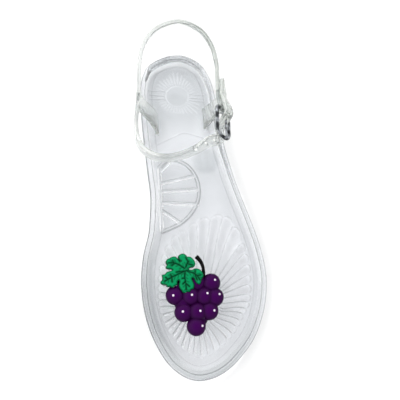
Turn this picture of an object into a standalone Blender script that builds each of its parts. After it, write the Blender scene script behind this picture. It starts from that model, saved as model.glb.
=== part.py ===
# Clear moulded toe post sandal, left shoe, with an ankle strap, a buckle and a grape charm.
# Metres, +Z up, toe towards -Y, heel towards +Y, outer (lateral) side towards +X, floor at z = 0.
import math
from collections import namedtuple

import bmesh
import bpy
from mathutils import Matrix, Vector

MM = 0.001
FIT = 0.3 * MM                      # gap between pieces that touch on the real sandal

# Sole
SOLE_LENGTH = 249 * MM
SOLE_MIDDLE = -1 * MM               # where the middle of the length lies along Y
SOLE_SIDES = 88                     # points round the outline

SoleRow = namedtuple("SoleRow", "along lateral medial bed under")
SOLE_ROWS = [                       # millimetres, toe to heel
    SoleRow(along=-125.5, lateral=0.0, medial=0.0, bed=11.0, under=6.0),
    SoleRow(along=-116.0, lateral=25.0, medial=19.5, bed=9.6, under=3.4),
    SoleRow(along=-103.0, lateral=38.6, medial=28.3, bed=7.6, under=0.9),
    SoleRow(along=-88.0, lateral=47.3, medial=34.2, bed=6.5, under=0.0),
    SoleRow(along=-62.0, lateral=53.8, medial=38.0, bed=6.5, under=0.0),
    SoleRow(along=-40.0, lateral=52.5, medial=36.0, bed=6.5, under=0.0),
    SoleRow(along=-18.0, lateral=47.3, medial=30.3, bed=6.9, under=0.7),
    SoleRow(along=5.0, lateral=40.4, medial=28.2, bed=8.2, under=2.2),
    SoleRow(along=24.0, lateral=35.4, medial=29.4, bed=9.2, under=2.2),
    SoleRow(along=48.0, lateral=30.8, medial=31.0, bed=10.0, under=0.0),
    SoleRow(along=76.0, lateral=28.4, medial=32.0, bed=10.0, under=0.0),
    SoleRow(along=95.0, lateral=26.6, medial=31.6, bed=10.0, under=0.0),
    SoleRow(along=107.0, lateral=23.0, medial=28.4, bed=10.0, under=0.0),
    SoleRow(along=116.0, lateral=17.2, medial=22.0, bed=10.2, under=0.7),
    SoleRow(along=123.5, lateral=0.0, medial=0.0, bed=10.6, under=1.8),
]

RimRow = namedtuple("RimRow", "inset from_under above_bed")
RIM_ROWS = [                        # millimetres, from the sole's lower edge up and over the rim
    RimRow(inset=3.2, from_under=0.0, above_bed=None),
    RimRow(inset=1.0, from_under=0.7, above_bed=None),
    RimRow(inset=0.0, from_under=2.4, above_bed=None),
    RimRow(inset=0.0, from_under=None, above_bed=1.0),
    RimRow(inset=0.6, from_under=None, above_bed=2.5),
    RimRow(inset=2.2, from_under=None, above_bed=3.2),
    RimRow(inset=3.9, from_under=None, above_bed=2.6),
    RimRow(inset=5.8, from_under=None, above_bed=1.1),
    RimRow(inset=9.5, from_under=None, above_bed=0.0),
]

# Raised relief of the footbed: a ribbed fan at the arch and a plain round pad at the heel
RIB_TOP = 1.6 * MM
RIB_FOOT = 2.8 * MM
RIB_HEIGHT = 0.7 * MM
RIB_SUNK = 1.0 * MM                 # how far a rib reaches into the sole below its surface
RIB_SECTION = (                     # width and height of its corners
    (-RIB_FOOT, -RIB_SUNK),
    (-RIB_TOP, RIB_HEIGHT),
    (RIB_TOP, RIB_HEIGHT),
    (RIB_FOOT, -RIB_SUNK),
)
FanRow = namedtuple("FanRow", "x y")
FAN_ROWS = [                        # millimetres, round edge of the fan from its toe end to its heel end
    FanRow(x=-21.0, y=-21.0),
    FanRow(x=-7.7, y=-16.0),
    FanRow(x=1.9, y=-8.1),
    FanRow(x=7.7, y=2.0),
    FanRow(x=8.8, y=12.4),
    FanRow(x=6.1, y=22.3),
    FanRow(x=0.1, y=29.9),
    FanRow(x=-8.1, y=33.8),
    FanRow(x=-15.7, y=32.8),
    FanRow(x=-20.2, y=28.5),
]
RibRow = namedtuple("RibRow", "inner_y outer_x outer_y")
FAN_SIDE = -20.2                    # millimetres, straight side of the fan along the inner rim
FAN_RIBS = [                        # millimetres, from the straight side to the round edge
    RibRow(inner_y=24.8, outer_x=-12.4, outer_y=32.0),
    RibRow(inner_y=15.7, outer_x=6.9, outer_y=20.7),
    RibRow(inner_y=9.5, outer_x=8.4, outer_y=10.0),
    RibRow(inner_y=1.1, outer_x=7.0, outer_y=-1.8),
    RibRow(inner_y=-5.1, outer_x=-7.0, outer_y=-15.0),
]
PAD_PLACE = Vector((-2.6, 87.5)) * MM
PAD_RADIUS = 9 * MM
PAD_HEIGHT = 0.6 * MM

# Ankle strap and its two side tabs
STRAP_WIDTH = 8.4 * MM
STRAP_THICK = 2.8 * MM
STRAP_CORNER = 1.0 * MM
STRAP_STEPS = 3                     # sections between two rows
LOOP_AXIS = Vector((-5 * MM, 66 * MM, 0))

StrapRow = namedtuple("StrapRow", "x y z lean")
HEEL_STRAP_ROWS = [                 # millimetres and degrees, from the outer tab round the heel
    StrapRow(x=23.0, y=65.0, z=50.0, lean=28),
    StrapRow(x=22.5, y=76.0, z=53.0, lean=18),
    StrapRow(x=21.6, y=88.0, z=57.0, lean=12),
    StrapRow(x=18.1, y=100.2, z=61.0, lean=16),
    StrapRow(x=9.8, y=109.8, z=64.4, lean=24),
    StrapRow(x=-4.0, y=114.5, z=66.0, lean=29),
    StrapRow(x=-18.6, y=110.2, z=64.5, lean=22),
    StrapRow(x=-27.6, y=101.2, z=61.4, lean=12),
    StrapRow(x=-31.6, y=90.0, z=57.7, lean=6),
    StrapRow(x=-33.0, y=77.0, z=53.3, lean=4),
    StrapRow(x=-34.0, y=63.5, z=50.0, lean=4),
]
FRONT_STRAP_ROWS = [                # on from the inner tab, across the instep to the buckle
    StrapRow(x=-36.0, y=50.0, z=50.0, lean=5),
    StrapRow(x=-36.2, y=38.0, z=51.0, lean=6),
    StrapRow(x=-33.2, y=28.0, z=52.5, lean=8),
    StrapRow(x=-26.6, y=21.6, z=54.0, lean=7),
    StrapRow(x=-17.6, y=19.2, z=55.0, lean=7),
    StrapRow(x=-7.0, y=20.6, z=55.5, lean=10),
    StrapRow(x=3.2, y=24.8, z=55.3, lean=18),
    StrapRow(x=12.0, y=30.4, z=54.0, lean=32),
]

TabRow = namedtuple("TabRow", "x y z breadth")
INNER_TAB_ROWS = [                  # millimetres, from the slot in the sole up to the strap
    TabRow(x=-20.5, y=64.5, z=4.5, breadth=17.0),
    TabRow(x=-20.7, y=64.5, z=12.0, breadth=17.0),
    TabRow(x=-24.4, y=64.2, z=25.0, breadth=14.5),
    TabRow(x=-29.8, y=63.8, z=38.0, breadth=12.5),
    TabRow(x=-33.7, y=63.5, z=49.0, breadth=14.0),
]
OUTER_TAB_ROWS = [
    TabRow(x=18.6, y=68.0, z=4.5, breadth=17.0),
    TabRow(x=18.8, y=68.0, z=12.0, breadth=17.0),
    TabRow(x=22.2, y=67.2, z=25.0, breadth=14.5),
    TabRow(x=24.8, y=66.0, z=38.0, breadth=12.5),
    TabRow(x=23.6, y=65.0, z=48.5, breadth=14.0),
]
SLOT_FLOOR = 4 * MM                 # how low the slots for the tabs reach in the sole
SLOT_SPARE = 0.45 * MM              # play of a tab in its slot, on each side
SLOT_CUT = 12 * MM                  # height of a slot's cutter, past the footbed

# Buckle: the rear bar sits in the strap's roll, the front bar lies over the strap
BAR_RADIUS = 1.2 * MM
FRONT_BAR = Vector((22.8, 34.2, 52.0)) * MM
REAR_BAR = Vector((24.4, 55.5, 50.0)) * MM
BUCKLE_LEAN = 42                    # degrees that the frame's upper side leans in over the foot
BUCKLE_WIDTH = 14.8 * MM            # across the strap, between the middles of the side bars
REAR_CORNER = 2.2 * MM
FRONT_CORNER = 5.2 * MM
PRONG_RADIUS = 0.8 * MM
PRONG_PAST_BAR = 1.6 * MM           # how far the prong's tip reaches past the front bar
PRONG_HEIGHT = BAR_RADIUS + PRONG_RADIUS + FIT
EYE_START = -190                    # degrees round the rear bar
EYE_SWEEP = 280
EYE_STEPS = 11
ROLL_WALL = 1.3 * MM                # strap material round the rear bar
ROLL_RADIUS = BAR_RADIUS + FIT + ROLL_WALL
ROLL_LENGTH = STRAP_WIDTH - 0.2 * MM
PRONG_NOTCH = 3.2 * MM              # gap in the roll that the prong's eye turns in
NOTCH_BACK = 3.6 * MM               # reach of that gap behind, before and inside the rear bar
NOTCH_FRONT = 5 * MM
NOTCH_INNER = 5 * MM
NOTCH_OUTER = ROLL_RADIUS + 0.25 * MM
PRONG_SLOT_MIDDLE = 0.45            # slot in the strap for the prong, shares of the buckle's length
PRONG_SLOT_LENGTH = 0.9
HOLE_RADIUS = 1.1 * MM              # holes for the prong
HOLE_PITCH = 8 * MM
HOLE_COUNT = 3
HOLE_START = 0.75                   # pitches from the front bar to the first hole
TAIL_OFFSET = STRAP_THICK + 0.5 * MM
TAIL_SHARES = (0.0, 0.35, 0.7)      # how far the free end lies along the heel strap's first stretch

# Toe post
POST_PLACE = Vector((-4.5, -63.0, 0)) * MM
CHARM_BACK = 24.5 * MM              # height of the charm's flat back
PostRow = namedtuple("PostRow", "radius height")
POST_ROWS = [                       # millimetres, flange under the charm down to the peg in the sole
    PostRow(radius=8.5, height=24.2),
    PostRow(radius=9.0, height=23.6),
    PostRow(radius=8.6, height=22.4),
    PostRow(radius=4.4, height=20.6),
    PostRow(radius=3.0, height=17.5),
    PostRow(radius=3.0, height=11.0),
    PostRow(radius=4.0, height=8.6),
    PostRow(radius=6.2, height=6.8),
    PostRow(radius=3.0, height=6.8),
    PostRow(radius=3.0, height=3.3),
]
POST_POCKET_FLOOR = 3 * MM
POST_SIDES = 28
POCKET_CUT = 8 * MM                 # height of the pocket's cutter, past the footbed

# Grape charm
BERRY_RADIUS = 6.4 * MM
BERRY_FLATTEN = 0.72
BerryRow = namedtuple("BerryRow", "x y rise")
BERRY_ROWS = [                      # millimetres, rise is the middle's height over the charm's back
    BerryRow(x=9.4, y=-61.8, rise=2.2),
    BerryRow(x=-0.4, y=-60.9, rise=1.6),
    BerryRow(x=-15.7, y=-68.2, rise=2.2),
    BerryRow(x=-5.4, y=-69.6, rise=2.8),
    BerryRow(x=3.9, y=-70.4, rise=3.0),
    BerryRow(x=10.8, y=-71.4, rise=2.2),
    BerryRow(x=-10.6, y=-79.6, rise=2.3),
    BerryRow(x=-1.4, y=-80.0, rise=2.9),
    BerryRow(x=6.4, y=-79.9, rise=2.3),
    BerryRow(x=-3.0, y=-89.2, rise=2.3),
    BerryRow(x=-10.2, y=-73.6, rise=0.6),
]
LEAF_HUB = Vector((-9.3, -52.8, 0)) * MM
LEAF_POINTS = 90
LOBE_SHARE = 0.56                   # half length of a lobe's ellipse as a share of its reach
LEAF_PLAY = FIT + 0.1 * MM          # room for the leaf in the berries
LEAF_CUT = 4 * MM                   # how far that room is cut past the charm's back
BACK_CUT = Vector((90, 90, 10)) * MM
LobeRow = namedtuple("LobeRow", "angle reach breadth")
LOBE_ROWS = [                       # degrees and millimetres from the hub
    LobeRow(angle=148, reach=13.4, breadth=5.0),
    LobeRow(angle=66, reach=11.4, breadth=6.6),
    LobeRow(angle=-28, reach=14.0, breadth=4.8),
    LobeRow(angle=-86, reach=14.8, breadth=5.4),
    LobeRow(angle=209, reach=16.8, breadth=6.0),
]
StemRow = namedtuple("StemRow", "x y rise radius")
STEM_ROWS = [                       # millimetres
    StemRow(x=0.5, y=-43.2, rise=2.6, radius=1.55),
    StemRow(x=3.0, y=-46.4, rise=2.8, radius=1.35),
    StemRow(x=4.4, y=-50.2, rise=3.0, radius=1.15),
    StemRow(x=4.8, y=-54.2, rise=3.0, radius=1.05),
    StemRow(x=4.7, y=-57.6, rise=3.0, radius=1.05),
]

# Colours, roughness, metallic
FINISHES = {
    "clear_pvc": ((0.80, 0.84, 0.86, 1), 0.12, 0.0),
    "purple_pvc": ((0.07, 0.005, 0.10, 1), 0.35, 0.0),
    "green_pvc": ((0.005, 0.22, 0.10, 1), 0.40, 0.0),
    "black_pvc": ((0.006, 0.005, 0.006, 1), 0.40, 0.0),
    "chrome": ((0.62, 0.63, 0.65, 1), 0.08, 1.0),
}


def clear_scene():
    for old in list(bpy.data.objects):
        bpy.data.objects.remove(old, do_unlink=True)


def make_collection(name):
    made = bpy.data.collections.new(name)
    bpy.context.scene.collection.children.link(made)
    return made


def make_material(name):
    colour, roughness, metallic = FINISHES[name]
    made = bpy.data.materials.new(name)
    made.use_nodes = True
    shader = made.node_tree.nodes["Principled BSDF"]
    shader.inputs["Base Color"].default_value = colour
    shader.inputs["Roughness"].default_value = roughness
    shader.inputs["Metallic"].default_value = metallic
    return made


def object_from_bmesh(name, work, collection):
    bmesh.ops.recalc_face_normals(work, faces=work.faces)
    mesh = bpy.data.meshes.new(name)
    work.to_mesh(mesh)
    work.free()
    made = bpy.data.objects.new(name, mesh)
    collection.objects.link(made)
    return made


def loft(work, rings, capped=True):
    layers = [[work.verts.new(point) for point in ring] for ring in rings]
    for low, high in zip(layers, layers[1:]):
        for i in range(len(low)):
            j = (i + 1) % len(low)
            work.faces.new((low[i], low[j], high[j], high[i]))
    if capped:
        work.faces.new(layers[0])
        work.faces.new(list(reversed(layers[-1])))
    return layers


def as_cutter(cutter):
    cutter.hide_render = True
    cutter.display_type = "WIRE"
    return cutter


def combine(target, tool, operation):
    joint = target.modifiers.new(f"{operation.lower()} {tool.name}", "BOOLEAN")
    joint.operation = operation
    joint.solver = "EXACT"
    joint.object = as_cutter(tool)


def curve_to_mesh(curve_object, collection):
    # An evaluated curve as a mesh with its caps welded, in the curve's place.
    graph = bpy.context.evaluated_depsgraph_get()
    mesh = bpy.data.meshes.new_from_object(curve_object.evaluated_get(graph))
    work = bmesh.new()
    work.from_mesh(mesh)
    bmesh.ops.remove_doubles(work, verts=work.verts, dist=0.01 * MM)
    name = curve_object.name
    matrix = curve_object.matrix_world.copy()
    bpy.data.objects.remove(curve_object, do_unlink=True)
    made = object_from_bmesh(name, work, collection)
    made.matrix_world = matrix
    return made


def monotone(rows, column, along):
    # Smooth curve through the rows that never swings past a row's value.
    xs = [row.along for row in rows]
    ys = [getattr(row, column) for row in rows]
    last = len(xs) - 1
    along = min(max(along, xs[0]), xs[last])
    i = max(k for k in range(last) if xs[k] <= along)
    steps = [(ys[k + 1] - ys[k]) / (xs[k + 1] - xs[k]) for k in range(last)]

    def slope(k):
        if k == 0 or k == last:
            return steps[min(k, last - 1)]
        before, after = steps[k - 1], steps[k]
        if before * after <= 0:
            return 0.0
        return 2 * before * after / (before + after)

    width = xs[i + 1] - xs[i]
    t = (along - xs[i]) / width
    rise = (1 + 2 * t) * (1 - t) ** 2 * ys[i] + t * t * (3 - 2 * t) * ys[i + 1]
    return rise + width * (t * (1 - t) ** 2 * slope(i) - t * t * (1 - t) * slope(i + 1))


def through_points(points, steps):
    # Catmull-Rom curve through a list of vectors of any length.
    count = len(points)
    out = []
    for i in range(count - 1):
        a, b, c, d = (points[min(max(k, 0), count - 1)] for k in (i - 1, i, i + 1, i + 2))
        for s in range(steps):
            t = s / steps
            out.append(0.5 * (2 * b + (c - a) * t + (2 * a - 5 * b + 4 * c - d) * t * t
                              + (3 * b - a - 3 * c + d) * t ** 3))
    out.append(points[-1].copy())
    return out


# Sole: rim rings offset inwards from the outline, closed by rungs from side to side.
FullRow = namedtuple("FullRow", "along lateral medial")


def fullness_rows():
    # Half width over the width factor of an ellipse of the same length, so both ends come out round.
    inner = []
    for row in SOLE_ROWS[1:-1]:
        share = ellipse_share(row.along)
        inner.append(FullRow(row.along, row.lateral / share, row.medial / share))
    toe = inner[0]._replace(along=SOLE_ROWS[0].along)
    heel = inner[-1]._replace(along=SOLE_ROWS[-1].along)
    return [toe] + inner + [heel]


def ellipse_share(along):
    part = (along * MM - SOLE_MIDDLE) / (SOLE_LENGTH / 2)
    return math.sqrt(max(0.0, 1 - part * part))


def sole_outline():
    rows = fullness_rows()
    points = []
    for k in range(SOLE_SIDES):
        angle = 2 * math.pi * k / SOLE_SIDES
        along = (SOLE_MIDDLE + SOLE_LENGTH / 2 * math.cos(angle)) / MM
        side = "lateral" if math.sin(angle) >= 0 else "medial"
        points.append(Vector((monotone(rows, side, along) * math.sin(angle) * MM, along * MM)))
    return points


def inset_ring(outline, inset):
    ring = []
    for k, point in enumerate(outline):
        run = outline[(k + 1) % len(outline)] - outline[k - 1]
        inward = Vector((run.y, -run.x)).normalized()
        ring.append(point + inward * inset)
    return ring


def make_sole(parts, cutters):
    outline = sole_outline()
    rings = []
    for row in RIM_ROWS:
        ring = []
        for flat in inset_ring(outline, row.inset * MM):
            along = flat.y / MM
            if row.above_bed is None:
                height = monotone(SOLE_ROWS, "under", along) + row.from_under
            else:
                height = monotone(SOLE_ROWS, "bed", along) + row.above_bed
            ring.append(Vector((flat.x, flat.y, height * MM)))
        rings.append(ring)
    work = bmesh.new()
    layers = loft(work, rings, capped=False)
    half = SOLE_SIDES // 2
    for layer in (layers[0], layers[-1]):
        work.faces.new((layer[0], layer[1], layer[-1]))
        work.faces.new((layer[half], layer[half - 1], layer[half + 1]))
        for k in range(1, half - 1):
            work.faces.new((layer[k], layer[k + 1], layer[-k - 1], layer[-k]))
    sole = object_from_bmesh("sole", work, parts)
    edge = through_points([Vector((row.x, row.y)) * MM for row in FAN_ROWS], 3)
    combine(sole, bed_rib("fan_edge", edge, cutters, closed=True), "UNION")
    for k, row in enumerate(FAN_RIBS, start=1):
        inner = Vector((FAN_SIDE, row.inner_y)) * MM
        outer = Vector((row.outer_x, row.outer_y)) * MM
        line = [inner.lerp(outer, share) for share in (0, 0.25, 0.5, 0.75, 1)]
        combine(sole, bed_rib(f"fan_rib_{k}", line, cutters), "UNION")
    combine(sole, heel_pad(cutters), "UNION")
    for name, rows in (("inner_slot", INNER_TAB_ROWS), ("outer_slot", OUTER_TAB_ROWS)):
        combine(sole, tab_slot(name, rows, cutters), "DIFFERENCE")
    combine(sole, post_pocket(cutters), "DIFFERENCE")
    return sole


def bed_height(along):
    return monotone(SOLE_ROWS, "bed", along / MM) * MM


def bed_rib(name, points, cutters, closed=False):
    # A low rib with sloping sides that follows the footbed.
    rings = []
    last = len(points) - 1
    for k, point in enumerate(points):
        before = points[k - 1] if closed or k > 0 else point
        after = points[(k + 1) % len(points)] if closed or k < last else point
        run = (after - before).normalized()
        side = Vector((run.y, -run.x))
        height = bed_height(point.y)
        ring = []
        for width, rise in RIB_SECTION:
            flat = point + side * width / 2
            ring.append(Vector((flat.x, flat.y, height + rise)))
        rings.append(ring)
    work = bmesh.new()
    layers = loft(work, rings, capped=not closed)
    if closed:
        for i in range(4):
            j = (i + 1) % 4
            work.faces.new((layers[-1][i], layers[-1][j], layers[0][j], layers[0][i]))
    return object_from_bmesh(name, work, cutters)


def heel_pad(cutters):
    depth = PAD_HEIGHT + RIB_SUNK
    work = bmesh.new()
    bmesh.ops.create_cone(work, cap_ends=True, segments=32, radius1=PAD_RADIUS + PAD_HEIGHT,
                          radius2=PAD_RADIUS, depth=depth)
    place = Vector((PAD_PLACE.x, PAD_PLACE.y, bed_height(PAD_PLACE.y) + PAD_HEIGHT - depth / 2))
    bmesh.ops.translate(work, vec=place, verts=work.verts)
    return object_from_bmesh("heel_pad", work, cutters)


def tab_slot(name, rows, cutters):
    foot = rows[0]
    work = bmesh.new()
    bmesh.ops.create_cube(work, size=1)
    size = Vector((STRAP_THICK + 2 * SLOT_SPARE, foot.breadth * MM + 2 * SLOT_SPARE, SLOT_CUT))
    bmesh.ops.scale(work, vec=size, verts=work.verts)
    place = Vector((foot.x * MM, foot.y * MM, SLOT_FLOOR + size.z / 2))
    bmesh.ops.translate(work, vec=place, verts=work.verts)
    return object_from_bmesh(name, work, cutters)


def post_pocket(cutters):
    peg = POST_ROWS[-1]
    radius = peg.radius * MM + FIT
    work = bmesh.new()
    bmesh.ops.create_cone(work, cap_ends=True, segments=POST_SIDES, radius1=radius, radius2=radius,
                          depth=POCKET_CUT)
    place = POST_PLACE + Vector((0, 0, POST_POCKET_FLOOR + POCKET_CUT / 2))
    bmesh.ops.translate(work, vec=place, verts=work.verts)
    return object_from_bmesh("post_pocket", work, cutters)


# Ankle strap: one band from the roll on the buckle's rear bar, round the heel and the instep,
# through the buckle and on to its free end, joined to the two side tabs.
Place = namedtuple("Place", "point across width")


def band_section(width, thick):
    corner = min(STRAP_CORNER, width / 3)
    points = []
    for quarter in range(4):
        side = (1, -1, -1, 1)[quarter]
        up = (1, 1, -1, -1)[quarter]
        for step in range(3):
            angle = math.radians(90 * quarter + 45 * step)
            points.append((side * (thick / 2 - corner) + corner * math.cos(angle),
                           up * (width / 2 - corner) + corner * math.sin(angle)))
    return points


def sweep_band(work, places, thick):
    rings = []
    for i, place in enumerate(places):
        before = places[max(i - 1, 0)].point
        after = places[min(i + 1, len(places) - 1)].point
        run = (after - before).normalized()
        across = (place.across - run * place.across.dot(run)).normalized()
        normal = across.cross(run)
        rings.append([place.point + normal * a + across * b for a, b in band_section(place.width, thick)])
    loft(work, rings)


def smooth_places(places, steps):
    points = through_points([place.point for place in places], steps)
    sides = through_points([place.across for place in places], steps)
    widths = through_points([Vector((place.width, 0, 0)) for place in places], steps)
    return [Place(p, s.normalized(), w.x) for p, s, w in zip(points, sides, widths)]


def strap_place(row, outward_shift=0.0, width=STRAP_WIDTH):
    point = Vector((row.x, row.y, row.z)) * MM
    inward = LOOP_AXIS - point
    inward.z = 0
    inward.normalize()
    lean = math.radians(row.lean)
    across = Vector((0, 0, 1)) * math.cos(lean) + inward * math.sin(lean)
    normal = Vector((0, 0, 1)) * math.sin(lean) - inward * math.cos(lean)
    return Place(point + normal * outward_shift, across, width)


def buckle_axes():
    along = (REAR_BAR - FRONT_BAR).normalized()
    out = along.cross(Vector((0, 0, 1))).normalized()
    up = out.cross(along)
    lean = math.radians(BUCKLE_LEAN)
    across = up * math.cos(lean) - out * math.sin(lean)
    normal = out * math.cos(lean) + up * math.sin(lean)
    return along, across, normal


UNDER_FRONT_BAR = -(BAR_RADIUS + 0.6 * MM + STRAP_THICK / 2)
OVER_ROLL = ROLL_RADIUS + 0.5 * MM + STRAP_THICK / 2
ThreadRow = namedtuple("ThreadRow", "share height")
THREAD_ROWS = [                     # share of the way to the rear bar, height on the buckle's normal
    ThreadRow(share=0.0, height=UNDER_FRONT_BAR),
    ThreadRow(share=0.34, height=UNDER_FRONT_BAR * 0.85),
    ThreadRow(share=0.56, height=(UNDER_FRONT_BAR + OVER_ROLL) / 2),
    ThreadRow(share=0.78, height=OVER_ROLL),
    ThreadRow(share=1.0, height=OVER_ROLL),
]


def strap_places():
    _, across, normal = buckle_axes()
    places = [Place(REAR_BAR, across, STRAP_WIDTH)]
    places += [strap_place(row) for row in HEEL_STRAP_ROWS + FRONT_STRAP_ROWS]
    for row in THREAD_ROWS:
        point = FRONT_BAR.lerp(REAR_BAR, row.share) + normal * row.height
        places.append(Place(point, across, STRAP_WIDTH))
    tab_row, heel_row = HEEL_STRAP_ROWS[:2]
    for share in TAIL_SHARES:
        row = StrapRow(*[a + (b - a) * share for a, b in zip(tab_row, heel_row)])
        places.append(strap_place(row, TAIL_OFFSET))
    return places


def round_tip(places):
    # The free end narrows to a rounded tip over half a strap width.
    end = places[-1]
    run = (end.point - places[-2].point).normalized()
    reach = STRAP_WIDTH / 2
    for angle in (25, 50, 72):
        turn = math.radians(angle)
        point = end.point + run * reach * math.sin(turn)
        places.append(Place(point, end.across, end.width * math.cos(turn)))
    return places


def tab_places(rows):
    points = through_points([Vector((row.x, row.y, row.z)) * MM for row in rows], STRAP_STEPS)
    widths = through_points([Vector((row.breadth, 0, 0)) * MM for row in rows], STRAP_STEPS)
    return [Place(p, Vector((0, 1, 0)), w.x) for p, w in zip(points, widths)]


def bar_along(name, middle, direction, radius, length, collection, segments=16):
    work = bmesh.new()
    bmesh.ops.create_cone(work, cap_ends=True, segments=segments, radius1=radius, radius2=radius,
                          depth=length)
    turn = direction.to_track_quat("Z", "Y").to_matrix().to_4x4()
    bmesh.ops.transform(work, matrix=Matrix.Translation(middle) @ turn, verts=work.verts)
    return object_from_bmesh(name, work, collection)


def roll_notch(cutters):
    along, across, normal = buckle_axes()
    turn = Matrix((along, across, normal)).transposed().to_4x4()
    size = Vector((NOTCH_FRONT + NOTCH_BACK, PRONG_NOTCH, NOTCH_INNER + NOTCH_OUTER))
    shift = Vector((NOTCH_BACK - NOTCH_FRONT, 0, NOTCH_OUTER - NOTCH_INNER)) / 2
    work = bmesh.new()
    bmesh.ops.create_cube(work, size=1)
    bmesh.ops.scale(work, vec=size, verts=work.verts)
    bmesh.ops.translate(work, vec=shift, verts=work.verts)
    bmesh.ops.transform(work, matrix=Matrix.Translation(REAR_BAR) @ turn, verts=work.verts)
    return object_from_bmesh("prong_notch", work, cutters)


def make_upper(parts, cutters):
    along, across, normal = buckle_axes()
    places = round_tip(smooth_places(strap_places(), STRAP_STEPS))
    work = bmesh.new()
    sweep_band(work, places, STRAP_THICK)
    upper = object_from_bmesh("upper", work, parts)
    for name, rows in (("inner_tab", INNER_TAB_ROWS), ("outer_tab", OUTER_TAB_ROWS)):
        work = bmesh.new()
        sweep_band(work, tab_places(rows), STRAP_THICK)
        combine(upper, object_from_bmesh(name, work, cutters), "UNION")
    roll = bar_along("bar_roll", REAR_BAR, across, ROLL_RADIUS, ROLL_LENGTH, cutters, 20)
    combine(upper, roll, "UNION")
    bore = bar_along("bar_bore", REAR_BAR, across, BAR_RADIUS + FIT, 2 * STRAP_WIDTH, cutters)
    combine(upper, bore, "DIFFERENCE")
    combine(upper, roll_notch(cutters), "DIFFERENCE")
    middle = FRONT_BAR.lerp(REAR_BAR, PRONG_SLOT_MIDDLE) + normal * PRONG_HEIGHT
    length = (REAR_BAR - FRONT_BAR).length * PRONG_SLOT_LENGTH
    slot = bar_along("prong_slot", middle, along, PRONG_RADIUS + FIT, length, cutters)
    combine(upper, slot, "DIFFERENCE")
    for k, hole in enumerate(hole_places(), start=1):
        direction = hole.across.cross(hole.run)
        cutter = bar_along(f"hole_{k}", hole.point, direction, HOLE_RADIUS, 3 * STRAP_THICK, cutters, 12)
        combine(upper, cutter, "DIFFERENCE")
    return upper


HolePlace = namedtuple("HolePlace", "point across run")


def hole_places():
    # Spare holes in the front strap, counted back from the buckle's front bar.
    places = smooth_places(strap_places(), 12)
    target = FRONT_BAR + buckle_axes()[2] * UNDER_FRONT_BAR
    start = min(range(len(places)), key=lambda k: (places[k].point - target).length)
    found = []
    walked = 0.0
    for k in range(start, 1, -1):
        step = places[k - 1].point - places[k].point
        walked += step.length
        if walked > HOLE_PITCH * (len(found) + HOLE_START):
            found.append(HolePlace(places[k].point, places[k].across, -step.normalized()))
        if len(found) == HOLE_COUNT:
            break
    return found


# Buckle
def wire(name, points, radius, collection, closed=False, radii=None):
    curve = bpy.data.curves.new(name, "CURVE")
    curve.dimensions = "3D"
    curve.bevel_depth = radius
    curve.bevel_resolution = 3
    curve.use_fill_caps = not closed
    line = curve.splines.new("POLY")
    line.points.add(len(points) - 1)
    for k, point in enumerate(points):
        line.points[k].co = (*point, 1)
        line.points[k].radius = radii[k] / radius if radii else 1
    line.use_cyclic_u = closed
    made = bpy.data.objects.new(name, curve)
    collection.objects.link(made)
    return made


def make_buckle_frame(parts):
    along, across, _ = buckle_axes()
    middle = (FRONT_BAR + REAR_BAR) / 2
    half_long = (REAR_BAR - FRONT_BAR).length / 2
    half_wide = BUCKLE_WIDTH / 2
    points = []
    for quarter in range(4):
        side = (1, -1, -1, 1)[quarter]
        up = (1, 1, -1, -1)[quarter]
        corner = REAR_CORNER if side > 0 else FRONT_CORNER
        for step in range(7):
            angle = math.radians(90 * quarter + 15 * step)
            a = side * (half_long - corner) + corner * math.cos(angle)
            b = up * (half_wide - corner) + corner * math.sin(angle)
            points.append(middle + along * a + across * b)
    return curve_to_mesh(wire("buckle_frame", points, BAR_RADIUS, parts, closed=True), parts)


def make_prong(parts):
    along, _, normal = buckle_axes()
    eye = PRONG_HEIGHT
    points = []
    for step in range(EYE_STEPS + 1):
        angle = math.radians(EYE_START + EYE_SWEEP * step / EYE_STEPS)
        points.append(REAR_BAR + along * eye * math.cos(angle) + normal * eye * math.sin(angle))
    tip = FRONT_BAR - along * PRONG_PAST_BAR + normal * PRONG_HEIGHT
    for share in (0.2, 0.4, 0.6, 0.8):
        points.append((REAR_BAR + normal * eye).lerp(tip, share))
    points.append(tip)
    return curve_to_mesh(wire("buckle_prong", points, PRONG_RADIUS, parts), parts)


def make_toe_post(parts):
    mesh = bpy.data.meshes.new("toe_post")
    rows = [PostRow(0, POST_ROWS[0].height)] + POST_ROWS + [PostRow(0, POST_ROWS[-1].height)]
    points = [(row.radius * MM, 0, row.height * MM) for row in rows]
    mesh.from_pydata(points, [(k, k + 1) for k in range(len(points) - 1)], [])
    post = bpy.data.objects.new("toe_post", mesh)
    parts.objects.link(post)
    post.location = POST_PLACE
    turn = post.modifiers.new("turned", "SCREW")
    turn.axis = "Z"
    turn.steps = POST_SIDES
    turn.render_steps = POST_SIDES
    turn.use_merge_vertices = True
    turn.merge_threshold = 0.01 * MM
    return post


# Charm
def berry(name, row, collection):
    work = bmesh.new()
    bmesh.ops.create_uvsphere(work, u_segments=18, v_segments=10, radius=BERRY_RADIUS)
    bmesh.ops.scale(work, vec=(1, 1, BERRY_FLATTEN), verts=work.verts)
    place = Vector((row.x * MM, row.y * MM, CHARM_BACK + row.rise * MM))
    bmesh.ops.translate(work, vec=place, verts=work.verts)
    return object_from_bmesh(name, work, collection)


def back_cutter(cutters):
    work = bmesh.new()
    bmesh.ops.create_cube(work, size=1)
    bmesh.ops.scale(work, vec=BACK_CUT, verts=work.verts)
    place = Vector((POST_PLACE.x, POST_PLACE.y, CHARM_BACK - BACK_CUT.z / 2))
    bmesh.ops.translate(work, vec=place, verts=work.verts)
    return object_from_bmesh("charm_back", work, cutters)


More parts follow.
